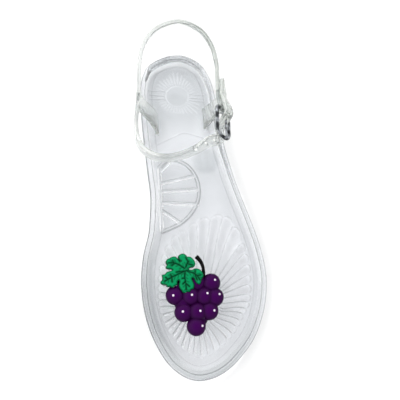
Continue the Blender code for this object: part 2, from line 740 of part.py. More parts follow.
def leaf_radius(angle):
    # Farthest edge of the lobes, each an ellipse that starts just behind the hub.
    best = 0.0
    for lobe in LOBE_ROWS:
        turn = angle - math.radians(lobe.angle)
        half_long = lobe.reach * LOBE_SHARE
        start = lobe.reach - half_long
        ca, sa = math.cos(turn) / half_long, math.sin(turn) / lobe.breadth
        a = ca * ca + sa * sa
        b = -start * ca / half_long
        c = (start / half_long) ** 2 - 1
        best = max(best, (-b + math.sqrt(max(0.0, b * b - a * c))) / a)
    return best * MM


LeafRow = namedtuple("LeafRow", "height shrink")
LEAF_ROWS = [                       # millimetres over the charm's back, and in from the outline
    LeafRow(height=0.0, shrink=0.4),
    LeafRow(height=0.5, shrink=0.0),
    LeafRow(height=5.2, shrink=0.0),
    LeafRow(height=6.1, shrink=0.5),
    LeafRow(height=6.4, shrink=1.5),
]


def make_leaf(name, collection, grow=0.0, drop=0.0):
    rings = []
    for row in LEAF_ROWS:
        ring = []
        for k in range(LEAF_POINTS):
            angle = 2 * math.pi * k / LEAF_POINTS
            radius = leaf_radius(angle) - row.shrink * MM + grow
            height = CHARM_BACK + row.height * MM + (grow if row.height else -drop)
            ring.append(LEAF_HUB + Vector((radius * math.cos(angle), radius * math.sin(angle), height)))
        rings.append(ring)
    work = bmesh.new()
    loft(work, rings)
    return object_from_bmesh(name, work, collection)


def make_stem(name, collection, grow=0.0):
    points = through_points([Vector((row.x, row.y, row.rise)) * MM for row in STEM_ROWS], 3)
    radii = through_points([Vector((row.radius * MM + grow, 0, 0)) for row in STEM_ROWS], 3)
    places = [Vector((p.x, p.y, p.z + CHARM_BACK)) for p in points]
    if grow:
        run = (places[-1] - places[-2]).normalized()
        places.append(places[-1] + run * grow)
        radii.append(radii[-1])
    line = wire(name, places, STEM_ROWS[0].radius * MM, collection, radii=[r.x for r in radii])
    return curve_to_mesh(line, collection)


def make_grapes(parts, cutters):
    grapes = berry("grape_cluster", BERRY_ROWS[0], parts)
    for k, row in enumerate(BERRY_ROWS[1:], start=2):
        combine(grapes, berry(f"berry_{k}", row, cutters), "UNION")
    combine(grapes, back_cutter(cutters), "DIFFERENCE")
    combine(grapes, make_leaf("leaf_room", cutters, LEAF_PLAY, LEAF_CUT), "DIFFERENCE")
    combine(grapes, make_stem("stem_room", cutters, FIT), "DIFFERENCE")
    return grapes


def finish(piece, material):
    piece.data.materials.clear()
    piece.data.materials.append(material)
    piece.data.shade_smooth()
    piece.data.set_sharp_from_angle(angle=math.radians(40))


def centre_on_floor(root, pieces):
    # Moves the whole sandal so that the origin is under the middle of its box, on the floor.
    bpy.context.view_layer.update()
    graph = bpy.context.evaluated_depsgraph_get()
    corners = []
    for piece in pieces:
        seen = piece.evaluated_get(graph)
        corners += [seen.matrix_world @ vert.co for vert in seen.data.vertices]
    low = Vector([min(c[k] for c in corners) for k in range(3)])
    high = Vector([max(c[k] for c in corners) for k in range(3)])
    root.location = Vector((-(low.x + high.x) / 2, -(low.y + high.y) / 2, -low.z))


def main():
    clear_scene()
    parts = make_collection("toe_post_sandal")
    cutters = make_collection("cutters")
    root = bpy.data.objects.new("sandal_origin", None)
    parts.objects.link(root)
    made = {
        "clear_pvc": [make_sole(parts, cutters), make_upper(parts, cutters), make_toe_post(parts)],
        "purple_pvc": [make_grapes(parts, cutters)],
        "green_pvc": [make_leaf("vine_leaf", parts)],
        "black_pvc": [make_stem("grape_stem", parts)],
        "chrome": [make_buckle_frame(parts), make_prong(parts)],
    }
    pieces = []
    for name, group in made.items():
        material = make_material(name)
        for piece in group:
            finish(piece, material)
        pieces += group
    for piece in pieces + list(cutters.objects):
        piece.parent = root
    centre_on_floor(root, pieces)


main()
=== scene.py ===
from math import cos, hypot, pi, radians, sin, sqrt

import bmesh
import bpy
import numpy as np
from mathutils import Matrix, Vector


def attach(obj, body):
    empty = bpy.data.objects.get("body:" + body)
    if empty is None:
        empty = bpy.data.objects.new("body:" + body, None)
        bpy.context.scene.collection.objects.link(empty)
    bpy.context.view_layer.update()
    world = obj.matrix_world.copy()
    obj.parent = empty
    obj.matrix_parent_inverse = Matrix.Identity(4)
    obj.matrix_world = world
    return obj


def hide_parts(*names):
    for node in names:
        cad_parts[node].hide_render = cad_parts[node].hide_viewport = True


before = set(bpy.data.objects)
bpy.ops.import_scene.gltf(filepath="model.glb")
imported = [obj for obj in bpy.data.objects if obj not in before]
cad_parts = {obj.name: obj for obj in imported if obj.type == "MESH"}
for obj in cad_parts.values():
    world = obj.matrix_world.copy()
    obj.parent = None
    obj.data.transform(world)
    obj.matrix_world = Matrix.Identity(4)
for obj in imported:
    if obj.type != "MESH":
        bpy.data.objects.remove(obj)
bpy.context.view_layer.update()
print("frame loaded:", sorted(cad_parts))

ops = bpy.ops
mm = 0.001
farAway = 99.0  # millimetres, further than any distance that counts
upward = Vector((0, 0, 1))
drawingZero = Vector((-7.93, 1.0, 0))  # the sole drawing's zero point in the frame, millimetres


# small helpers
def linear(code):
    # sRGB hex to linear
    parts = [int(code[k:k + 2], 16) / 255 for k in (1, 3, 5)]
    return tuple(c / 12.92 if c <= 0.04045 else ((c + 0.055) / 1.055) ** 2.4 for c in parts) + (1.0,)


def addNode(tree, kind, settings=None, links=None):
    # a node among the links stands for its first output
    node = tree.nodes.new("ShaderNode" + kind)
    for name, value in (settings or {}).items():
        if isinstance(name, str) and hasattr(node, name):
            setattr(node, name, value)
        else:
            node.inputs[name].default_value = value
    for name, source in (links or {}).items():
        tree.links.new(source.outputs[0] if hasattr(source, "outputs") else source, node.inputs[name])
    return node


def newMaterial(name):
    # the material, its nodes and the place on the piece that they read
    made = bpy.data.materials.new(name)
    made.use_nodes = True
    made.node_tree.nodes.clear()
    return made, made.node_tree, addNode(made.node_tree, "TexCoord").outputs["Object"]


def deselect():
    if bpy.context.mode != "OBJECT":
        ops.object.mode_set(mode="OBJECT")
    ops.object.select_all(action="DESELECT")


def makeActive(piece):
    deselect()
    piece.select_set(True)
    bpy.context.view_layer.objects.active = piece


def inFrame(x, y, z):
    return (Vector((x, y, z)) + drawingZero) * mm


def applyModifiers(piece):
    makeActive(piece)
    for name in [m.name for m in piece.modifiers]:
        ops.object.modifier_apply(modifier=name)


def combine(piece, tool, operation):
    joint = piece.modifiers.new("joint", "BOOLEAN")
    joint.operation = operation
    joint.solver = "EXACT"
    joint.object = tool
    applyModifiers(piece)
    bpy.data.objects.remove(tool, do_unlink=True)


def finishPiece(piece, material, nodes=(), sharp=40):
    makeActive(piece)
    ops.object.transform_apply()
    ops.object.shade_smooth_by_angle(angle=radians(sharp))
    piece.data.materials.clear()
    piece.data.materials.append(material)
    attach(piece, "root")
    if nodes:
        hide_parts(*nodes)
    print(piece.name, len(piece.data.polygons), "faces")


def coordinates(piece, kind="co"):
    values = np.empty(len(piece.data.vertices) * 3)
    piece.data.vertices.foreach_get(kind, values)
    return values.reshape(-1, 3)


def paint(piece, name, values):
    # one number per point, for a material to read
    piece.data.attributes.new(name, "FLOAT", "POINT").data.foreach_set("value", values)


def drawn(co):
    # x, y and z of points of the frame in the drawing's millimetres
    return [co[:, k] / mm - drawingZero[k] for k in range(3)]


def openEdit(piece):
    makeActive(piece)
    ops.object.mode_set(mode="EDIT")
    ops.mesh.select_all(action="SELECT")


def closeEdit():
    ops.mesh.select_all(action="SELECT")
    ops.mesh.normals_make_consistent(inside=False)
    ops.object.mode_set(mode="OBJECT")


def capHoles():
    ops.mesh.select_all(action="DESELECT")
    ops.mesh.select_mode(type="EDGE")
    ops.mesh.select_non_manifold()
    ops.mesh.fill_holes(sides=0)
    ops.mesh.select_mode(type="VERT")


def roundEdges(piece, width):
    rounding = piece.modifiers.new("edges", "BEVEL")
    rounding.width = width * mm
    rounding.segments = 3
    return rounding


def aimed(place, aim):
    # matrix that puts a shape's own height along the aim
    return Matrix.Translation(place) @ aim.to_track_quat("Z", "Y").to_matrix().to_4x4()


def moveSelected(piece, ring):
    # puts the selected loop's points, matched by their order, on the next ring
    work = bmesh.from_edit_mesh(piece.data)
    picked = [v for v in work.verts if v.select]
    for vert, place in zip(picked, ring):
        vert.co = place
    bmesh.update_edit_mesh(piece.data)


def loftRings(name, rings, capped=True):
    # a circle is added, put on the first ring and extruded from ring to ring
    deselect()
    ops.mesh.primitive_circle_add(vertices=len(rings[0]), radius=0.1)
    piece = bpy.context.active_object
    piece.name = name
    openEdit(piece)
    moveSelected(piece, rings[0])
    for ring in rings[1:]:
        ops.mesh.extrude_edges_move()
        moveSelected(piece, ring)
    if capped:
        capHoles()
    closeEdit()
    return piece


def throughPoints(points, steps):
    # smooth curve through rows of numbers
    rows = np.array(points, float)
    last = len(rows) - 1
    out = []
    for i in range(last):
        a, b, c, d = (rows[min(max(k, 0), last)] for k in (i - 1, i, i + 1, i + 2))
        for s in range(steps):
            t = s / steps
            out.append(0.5 * (2 * b + (c - a) * t + (2 * a - 5 * b + 4 * c - d) * t * t
                              + (3 * b - a - 3 * c + d) * t ** 3))
    out.append(rows[-1])
    return np.array(out)


def pairs(points):
    return list(zip(points, points[1:]))


def roundOblong(halfA, halfB, corners, steps):
    # points round an oblong, its two ends with corners of their own
    points = []
    for quarter, (a, b) in enumerate(((1, 1), (-1, 1), (-1, -1), (1, -1))):
        corner = corners[a < 0]
        for step in range(steps):
            angle = radians(90 * quarter + 90 * step / (steps - 1))
            points.append((a * (halfA - corner) + corner * cos(angle),
                           b * (halfB - corner) + corner * sin(angle)))
    return points


def runAt(path, k):
    # direction of a path at one of its points
    return Vector(path[min(k + 1, len(path) - 1)][:3]) - Vector(path[max(k - 1, 0)][:3])


def monotone(xs, ys, at):
    # smooth curve that never swings past a row's value
    xs, ys = np.array(xs, float), np.array(ys, float)
    steps = np.diff(ys) / np.diff(xs)
    slopes = np.zeros_like(ys)
    slopes[0], slopes[-1] = steps[0], steps[-1]
    for k in range(1, len(xs) - 1):
        if steps[k - 1] * steps[k] > 0:
            slopes[k] = 2 * steps[k - 1] * steps[k] / (steps[k - 1] + steps[k])
    at = np.clip(at, xs[0], xs[-1])
    i = np.clip(np.searchsorted(xs, at, side="right") - 1, 0, len(xs) - 2)
    width = xs[i + 1] - xs[i]
    t = (at - xs[i]) / width
    value = (1 + 2 * t) * (1 - t) ** 2 * ys[i] + t * t * (3 - 2 * t) * ys[i + 1]
    return value + width * (t * (1 - t) ** 2 * slopes[i] - t * t * (1 - t) * slopes[i + 1])


def ramp(low, high, value):
    t = np.clip((value - low) / (high - low), 0, 1)
    return t * t * (3 - 2 * t)


def segmentDistance(x, y, a, b):
    ax, ay = a
    dx, dy = b[0] - ax, b[1] - ay
    t = np.clip(((x - ax) * dx + (y - ay) * dy) / (dx * dx + dy * dy), 0, 1)
    return np.hypot(x - ax - t * dx, y - ay - t * dy)


def tent(far, width):
    return np.clip(1 - far / width, 0, 1)


def nearest(x, y, lines):
    # distance to the nearest of some straight lines
    far = np.full_like(x, farAway)
    for a, b in lines:
        far = np.minimum(far, segmentDistance(x, y, a, b))
    return far


# materials
rgba = {"data_type": "RGBA"}  # sets a Mix node to colours


def clearPvc(name, tint, edge, haze, crease, absorb, density, ripple, milk):
    # soft PVC, moulded clear: glassy, a little grey in depth, painted shade on steep faces and in creases,
    # greyer where the haze attribute is set (partly painted shade), painted white highlights along some edges
    # that also pass less light, faint flow ripples
    made, tree, place = newMaterial(name)
    flow = addNode(tree, "TexNoise", {"Scale": 1 / (ripple * mm), "Detail": 2.0}, {"Vector": place})
    grit = addNode(tree, "TexNoise", {"Scale": 1 / (0.9 * mm), "Detail": 3.0}, {"Vector": place})
    gloss = addNode(tree, "MapRange", {"To Min": 0.02, "To Max": 0.07}, {"Value": grit})
    wave = addNode(tree, "Bump", {"Strength": 0.12, "Distance": 0.2 * mm}, {"Height": flow})
    # painted shade: steep faces take the edge colour, flat ones the tint
    facing = addNode(tree, "NewGeometry").outputs["Normal"]
    parts = addNode(tree, "SeparateXYZ", None, {0: facing})
    level = addNode(tree, "Math", {"operation": "ABSOLUTE"}, {0: parts.outputs["Z"]})
    flat = addNode(tree, "MapRange", {"From Min": 0.5, "From Max": 0.99}, {"Value": level})
    colour = addNode(tree, "Mix", {**rgba, 6: linear(edge), 7: linear(tint)}, {0: flat})
    # haze greys the colour (partly painted shade), crease is painted shade, glint a painted white highlight
    for layer, shade in (("haze", haze), ("crease", crease), ("glint", "#FFFFFF")):
        share = addNode(tree, "Attribute", {"attribute_name": layer}).outputs["Fac"]
        colour = addNode(tree, "Mix", {**rgba, 7: linear(shade)}, {0: share, 6: colour.outputs[2]})
    # the last layer, glint, a painted highlight, also lets less light through
    clear = addNode(tree, "MapRange", {"To Min": 1 - milk, "To Max": 0.3}, {"Value": share})
    shader = addNode(tree, "BsdfPrincipled", {"IOR": 1.53},
                     {"Base Color": colour.outputs[2], "Roughness": gloss, "Normal": wave,
                      "Transmission Weight": clear})
    depth = addNode(tree, "VolumeAbsorption", {"Color": linear(absorb), "Density": density})
    addNode(tree, "OutputMaterial", None, {"Surface": shader, "Volume": depth})
    return made


def solidPvc(name, dark, light, patch, roughness, crease=None):
    # soft PVC, moulded in colour: satin, slightly cloudy colour with a painted highlight on the swells and
    # painted shade in the creases, fine mould grain
    made, tree, place = newMaterial(name)
    cloud = addNode(tree, "TexNoise", {"Scale": 1 / (patch * mm), "Detail": 4.0}, {"Vector": place})
    swell = addNode(tree, "Attribute", {"attribute_name": "swell"}).outputs["Fac"]
    lift = addNode(tree, "Math", {"operation": "MULTIPLY_ADD", "use_clamp": True, 1: 0.3},
                   {0: cloud, 2: swell})
    colour = addNode(tree, "Mix", {**rgba, 6: linear(dark), 7: linear(light)}, {0: lift})
    if crease:
        line = addNode(tree, "Attribute", {"attribute_name": "crease"}).outputs["Fac"]
        colour = addNode(tree, "Mix", {**rgba, 7: linear(crease)}, {0: line, 6: colour.outputs[2]})
    grain = addNode(tree, "TexNoise", {"Scale": 1 / (0.35 * mm), "Detail": 2.0}, {"Vector": place})
    gloss = addNode(tree, "MapRange", {"To Min": roughness - 0.06, "To Max": roughness + 0.06},
                    {"Value": cloud})
    skin = addNode(tree, "Bump", {"Strength": 0.15, "Distance": 0.05 * mm}, {"Height": grain})
    shader = addNode(tree, "BsdfPrincipled", {"IOR": 1.53, "Specular IOR Level": 0.05},
                     {"Base Color": colour.outputs[2], "Roughness": gloss, "Normal": skin})
    addNode(tree, "OutputMaterial", None, {"Surface": shader})
    return made


def chromePlate(name):
    # chrome plate on a wire buckle: grey mirror with dark patches of painted reflection, faint polishing haze
    made, tree, place = newMaterial(name)
    patch = addNode(tree, "TexNoise", {"Scale": 1 / (3.5 * mm), "Detail": 1.5}, {"Vector": place})
    paintedReflection = addNode(tree, "ValToRGB", None, {0: patch})
    for stop, spot, shade in zip(paintedReflection.color_ramp.elements, (0.42, 0.56), ("#2C2E31", "#94979B")):
        stop.position = spot
        stop.color = linear(shade)
    haze = addNode(tree, "TexNoise", {"Scale": 1 / (1.5 * mm), "Detail": 3.0}, {"Vector": place})
    gloss = addNode(tree, "MapRange", {"To Min": 0.03, "To Max": 0.12}, {"Value": haze})
    shader = addNode(tree, "BsdfPrincipled", {"Metallic": 1.0}, {"Base Color": paintedReflection, "Roughness": gloss})
    addNode(tree, "OutputMaterial", None, {"Surface": shader})
    return made


def paperFloor(name):
    # matt white backdrop paper with a faint tooth
    made, tree, place = newMaterial(name)
    tooth = addNode(tree, "TexNoise", {"Scale": 1 / (2 * mm), "Detail": 2.0}, {"Vector": place})
    pale, white = linear("#FBFBFB"), linear("#FEFEFE")
    colour = addNode(tree, "Mix", {**rgba, 6: pale, 7: white}, {0: tooth})
    shader = addNode(tree, "BsdfPrincipled", {"Roughness": 0.9, "Specular IOR Level": 0.1},
                     {"Base Color": colour.outputs[2]})
    addNode(tree, "OutputMaterial", None, {"Surface": shader})
    return made


# sole: outline, arch and toe spring by rows along the foot, rim by rows across its edge
soleForm = {
    "length": 249.0,
    "middle": -1.0,
    "half": 500,  # points along each side, and the finer steps they are read from
    "fine": 6000,
    "across": 110,  # cuts across the footbed
    "rimSteps": 3,
    "rows": [  # along, lateral, medial, bed, under
        (-125.5, 0.0, 0.0, 11.0, 6.0), (-116.0, 25.0, 19.5, 9.6, 3.4), (-103.0, 38.6, 28.3, 7.6, 0.9),
        (-88.0, 47.3, 34.2, 6.5, 0.0), (-62.0, 53.8, 38.0, 6.5, 0.0), (-40.0, 52.5, 36.0, 6.5, 0.0),
        (-18.0, 47.3, 30.3, 6.9, 0.7), (5.0, 40.4, 28.2, 8.2, 2.2), (24.0, 35.4, 29.4, 9.2, 2.2),
        (48.0, 30.8, 31.0, 10.0, 0.0), (76.0, 28.4, 32.0, 10.0, 0.0), (95.0, 26.6, 31.6, 10.0, 0.0),
        (107.0, 23.0, 28.4, 10.0, 0.0), (116.0, 17.2, 22.0, 10.2, 0.7), (123.5, 0.0, 0.0, 10.6, 1.8)],
    "rim": [  # inset, share of the bed's height, height above it
        (3.2, 0, 0.0), (1.0, 0, 0.7), (0.0, 0, 2.4), (0.0, 1, 1.0), (0.6, 1, 2.5), (2.2, 1, 3.2),
        (3.9, 1, 2.6), (5.8, 1, 1.1), (7.0, 1, 0.5), (8.2, 1, 0.15), (9.5, 1, 0.0)],
    "reliefFrom": 5.8,  # inset where the footbed's relief begins
    "rimCrease": [  # inset, darkness of the painted shade along the rim's lines
        (0.0, 1.0), (0.5, 0.8), (1.1, 0.0), (3.3, 0.0), (3.9, 0.9), (4.5, 0.0), (8.6, 0.0), (9.5, 0.35)],
    "underCuts": 6,
}

flutes = {
    "centre": (3.2, -71.5),
    "height": 0.8,
    "lineWidth": 0.8,
    "seam": 99,  # degrees where the list of lines starts
    "rise": (12, 18),  # distance from the centre over which the flutes rise
    "bow": (2.6, -1.6),  # the lines bow out and hook back at their tips
    "tipRun": 2.5,
    "lineEnd": 0.6,
    "glintRise": (16, 20),
    "zones": [  # degrees, shade painted on a line and on its tip, highlight painted beside it
        (-261, 0.35, 0.1, 0.0), (-220, 0.7, 0.3, 0.15), (-180, 0.9, 0.35, 0.4), (-130, 0.75, 0.1, 0.55),
        (-90, 0.5, 0.08, 0.3), (-60, 0.65, 0.2, 0.2), (-20, 0.75, 0.4, 0.15), (20, 0.65, 0.45, 0.1),
        (60, 0.55, 0.4, 0.05), (99, 0.35, 0.1, 0.0)],
    "glintOffset": 1.3,
    "glintWidth": 0.75,
    "scallop": 0.5,  # depth of the rounded tips, share of a flute's width
    "lines": [  # degrees near the charm, degrees at the tip, reach of the tip
        (99, 97, 52), (93, 88, 58), (82, 78, 62), (61, 69, 66), (52, 60, 63), (44, 48, 54), (34, 40, 49.5),
        (23, 31, 46), (15, 21, 42), (8, 12, 39.5), (-2, 1, 38), (-14, -8, 37), (-27, -16, 35.5),
        (-33, -23, 34), (-40, -32, 34), (-51, -41, 34), (-60, -51, 34.5), (-69, -60, 35), (-79, -71, 36.5),
        (-85, -79, 37.5), (-92, -87, 39.5), (-98, -94, 40), (-104, -102, 39), (-112, -109, 37.5),
        (-120, -117, 36), (-127, -125, 34), (-135, -133, 32.5), (-141, -142, 31.5), (-150, -151, 31),
        (-158, -162, 30), (-167, -173, 30), (-183, -183, 30), (-195, -194, 30.5), (-207, -205, 32),
        (-217, -216, 35), (-229, -227, 38.5), (-238, -236, 43), (-247, -246, 47), (-254, -255, 51)],
}

archFan = {
    "edge": [(-21.0, -21.0), (-7.7, -16.0), (1.9, -8.1), (7.7, 2.0), (8.8, 12.4), (6.1, 22.3), (0.1, 29.9),
             (-8.1, 33.8), (-15.7, 32.8), (-20.2, 28.5)],
    "side": -20.2,
    "ribs": [(24.8, -12.4, 32.0), (15.7, 6.9, 20.7), (9.5, 8.4, 10.0), (1.1, 7.0, -1.8), (-5.1, -7.0, -15.0)],
    "height": 0.7,
    "top": 0.7,  # half width of a rib's top and foot
    "foot": 1.4,
    "lineWidth": 0.7,
    "edgeWidth": 0.9,
    "glint": 0.85,
}

heelSun = {
    "centre": (-2.6, 87.5),
    "padRadius": 9.0,
    "padHeight": 0.6,
    "padEdge": 0.4,
    "rayHeight": 0.35,
    "rayTop": 0.25,
    "rayFoot": 0.8,
    "lineWidth": 0.6,
    # darkness of the painted shade lines, and how much the painted bright rays lighten the greying
    "crease": 0.4,
    "clear": 0.38,
    "rays": 36,
    "rayStart": 11.0,
    "rayReach": [(-180, 15.0), (-135, 15.5), (-90, 14.5), (-60, 17.0), (-45, 21.0), (-25, 19.0), (0, 14.0),
                 (45, 15.5), (62, 16.0), (78, 20.0), (90, 22.0), (102, 20.0), (118, 16.0), (135, 19.0),
                 (180, 15.0)],
    "sideLines": [((-25.0, 92.8), (-12.2, 91.7)), ((-24.5, 89.1), (-13.5, 88.0)),
                  ((-25.0, 85.4), (-12.4, 84.8)), ((7.2, 89.2), (19.0, 88.1)), ((7.6, 86.0), (18.7, 84.9)),
                  ((7.0, 83.8), (18.3, 82.2))],
    "roofLine": [(-21.5, 46.1), (-14.7, 49.3), (-6.9, 52.9), (-2.0, 55.4), (0.9, 55.9), (5.6, 54.7),
                 (11.2, 52.8), (15.5, 51.2)],
}

# painted shade, painted highlight and greying for the clear PVC, and a mould pin mark
tintForm = {
    "heel": (52.0, 78.0, 0.48),  # the footbed greys between these lengths
    "spot": (16.0, 32.0, 7.0, 14.0, 0.62),  # painted shadow at the waist: place, inner, outer radius, strength
    "rim": [(-125.5, 0.8, 0.8), (-112.0, 0.45, 0.7), (-85.0, 0.05, 0.7), (-55.0, 0.0, 0.5), (-35.0, 0.0, 0.2),
            (-12.0, 0.0, 0.0), (123.5, 0.0, 0.0)],  # along, painted shade on the rim's inner wall: lateral, medial
    "rimFrom": 1.4,
    "waist": (18.0, 12.0, 38.0, 0.2),  # the footbed greys a little about this length, inner and outer reach
    "rimGlint": (88.0, 112.0, 0.22),  # painted highlight on the heel's rim between these lengths
    "pin": (-25.0, -6.0, 1.3, 0.75),  # mould pin mark on the inner rim: place, radius, darkness
    # the strap greys toward its buckle side and the heel, above its tabs: ranges of x, y and z, strength
    "strap": (-45.0, 20.0, 30.0, 55.0, 40.0, 47.0, 0.58),
}


def soleRow(column, along):
    rows = soleForm["rows"]
    return monotone([r[0] for r in rows], [r[column] for r in rows], along)


def soleSide(column):
    # half outline from heel tip to toe tip at even steps
    rows = soleForm["rows"][1:-1]
    half = soleForm["length"] / 2
    share = [sqrt(1 - ((r[0] - soleForm["middle"]) / half) ** 2) for r in rows]
    full = [r[column] / s for r, s in zip(rows, share)]
    xs = [soleForm["rows"][0][0]] + [r[0] for r in rows] + [soleForm["rows"][-1][0]]
    turn = np.linspace(0, pi, soleForm["fine"])
    along = soleForm["middle"] + half * np.cos(turn)
    wide = monotone(xs, [full[0]] + full + [full[-1]], along) * np.sin(turn)
    run = np.concatenate([[0], np.cumsum(np.hypot(np.diff(wide), np.diff(along)))])
    even = np.linspace(0, run[-1], soleForm["half"] + 1)
    return np.interp(even, run, wide), np.interp(even, run, along)


def fluteForm(x, y):
    cx, cy = flutes["centre"]
    seam, (first, full), (bow, hook) = flutes["seam"], flutes["rise"], flutes["bow"]
    tipRun, lineEnd = flutes["tipRun"], flutes["lineEnd"]
    reach = np.hypot(x - cx, y - cy)
    turn = np.degrees(np.arctan2(y - cy, x - cx))
    lines = np.array(flutes["lines"][::-1], float)
    fromSeam = (turn - seam) % 360 - 360 + seam
    t = np.clip((reach - full) / np.interp(fromSeam, lines[:, 1], lines[:, 2] - full), 0, 1)
    bent = bow * t + hook * t * t
    edges = lines[:, 0] + (lines[:, 1] - lines[:, 0]) * bent[:, None]
    turned = (turn - edges[:, 0]) % 360 + edges[:, 0]
    k = (turned[:, None] >= edges).sum(1) - 1
    nxt = (k + 1) % len(lines)
    rows = np.arange(len(x))
    start = edges[rows, k]
    end = edges[rows, nxt] + np.where(nxt == 0, 360, 0)
    share = (turned - start) / (end - start)
    bulge = 2 * share - 1
    ridge = np.sqrt(np.clip(1 - bulge ** 2, 0, 1))
    span = reach * np.radians(end - start)
    tip = lines[k, 2] * (1 - share) + lines[nxt, 2] * share - flutes["scallop"] * span * (1 - ridge)
    body = ramp(first, full, reach) * (1 - ramp(tip - tipRun, tip, reach))
    gap = reach * np.radians(np.minimum(share, 1 - share) * (end - start))
    side = tent(gap, flutes["lineWidth"]) * ramp(first, full, reach) * (1 - ramp(tip - lineEnd, tip, reach))
    end = tent(np.abs(reach - tip), flutes["lineWidth"])
    # painted shade along the lines and at their tips, painted highlight beside the lines
    zone, dark, dim, bright = zip(*flutes["zones"])
    beside = np.abs(span * share - flutes["glintOffset"])
    glint = tent(beside, flutes["glintWidth"]) * ramp(*flutes["glintRise"], reach)
    glint *= (1 - ramp(tip - tipRun, tip - lineEnd, reach)) * np.interp(fromSeam, zone, bright)
    crease = np.maximum(side * np.interp(fromSeam, zone, dark), end * np.interp(fromSeam, zone, dim))
    return flutes["height"] * ridge * body, crease, glint


def fanForm(x, y):
    # ribs with a painted shade line toward the heel and a painted highlight line away from it
    fan = archFan
    edge = throughPoints(fan["edge"], steps=4)
    line = (fan["top"] + fan["foot"]) / 2
    far, side = np.full_like(x, farAway), np.zeros_like(x)
    for a, b in pairs(edge):
        step = segmentDistance(x, y, a, b)
        outer = (x - a[0]) * (b[1] - a[1]) - (y - a[1]) * (b[0] - a[0])
        side = np.where(step < far, outer, side)
        far = np.minimum(far, step)
    outline = np.where(side > 0, tent(np.abs(far - line), fan["edgeWidth"]), 0.0)
    step = segmentDistance(x, y, edge[-1], edge[0])
    lit = np.where(step < far, 1.0, 0.0)
    far = np.minimum(far, step)
    for innerY, outerX, outerY in fan["ribs"]:
        step = segmentDistance(x, y, (fan["side"], innerY), (outerX, outerY))
        middle = innerY + (outerY - innerY) / (outerX - fan["side"]) * (x - fan["side"])
        lit = np.where(step < far, np.where(y < middle, 1.0, 0.0), lit)
        far = np.minimum(far, step)
    height = fan["height"] * (1 - ramp(fan["top"], fan["foot"], far))
    beside = tent(np.abs(far - line), fan["lineWidth"])
    return height, np.maximum(outline, beside * (1 - lit)), fan["glint"] * beside * lit


def sunForm(x, y):
    # round pad with painted bright rays about it, painted dark lines at its sides and in front
    sun = heelSun
    cx, cy = sun["centre"]
    rays = []
    for k in range(sun["rays"]):
        turn = -180 + 360 * (k + 0.5) / sun["rays"]
        aim = np.array((cos(radians(turn)), sin(radians(turn))))
        reach = np.interp(turn, *zip(*sun["rayReach"]))
        rays.append([np.array((cx, cy)) + aim * length for length in (sun["rayStart"], reach)])
    out, far = np.hypot(x - cx, y - cy), nearest(x, y, rays)
    dark = nearest(x, y, sun["sideLines"] + pairs(sun["roofLine"]))
    bright = tent(np.minimum(far, np.abs(out - sun["padRadius"])), sun["lineWidth"])
    first, full = sun["padRadius"] - sun["padEdge"], sun["padRadius"] + sun["padEdge"]
    height = sun["padHeight"] * (1 - ramp(first, full, out))
    height += sun["rayHeight"] * (1 - ramp(sun["rayTop"], sun["rayFoot"], np.minimum(far, dark)))
    return height, sun["crease"] * tent(dark, sun["lineWidth"]), sun["clear"] * bright


def reliefForm(x, y):
    # height over the plain footbed, painted shade along its lines, greying of the clear stuff with a painted
    # shadow in it, and painted highlight along edges
    height, crease, glint = fluteForm(x, y)
    fanHeight, fanCrease, fanGlint = fanForm(x, y)
    sunHeight, sunCrease, clear = sunForm(x, y)
    # painted shadow of the strap at the waist spot; the heel and the waist grey; the painted bright rays
    # lighten it
    spotX, spotY, inner, outer, darkening = tintForm["spot"]
    first, full, heel = tintForm["heel"]
    spot = darkening * (1 - ramp(inner, outer, np.hypot(x - spotX, y - spotY)))
    middle, inner, outer, darkening = tintForm["waist"]
    waist = darkening * (1 - ramp(inner, outer, np.abs(y - middle)))
    haze = np.clip(np.maximum.reduce([heel * ramp(first, full, y), spot, waist]) - clear, 0, 1)
    crease = np.maximum.reduce([crease, fanCrease, sunCrease])
    return height + fanHeight + sunHeight, crease, haze, np.maximum(glint, fanGlint)


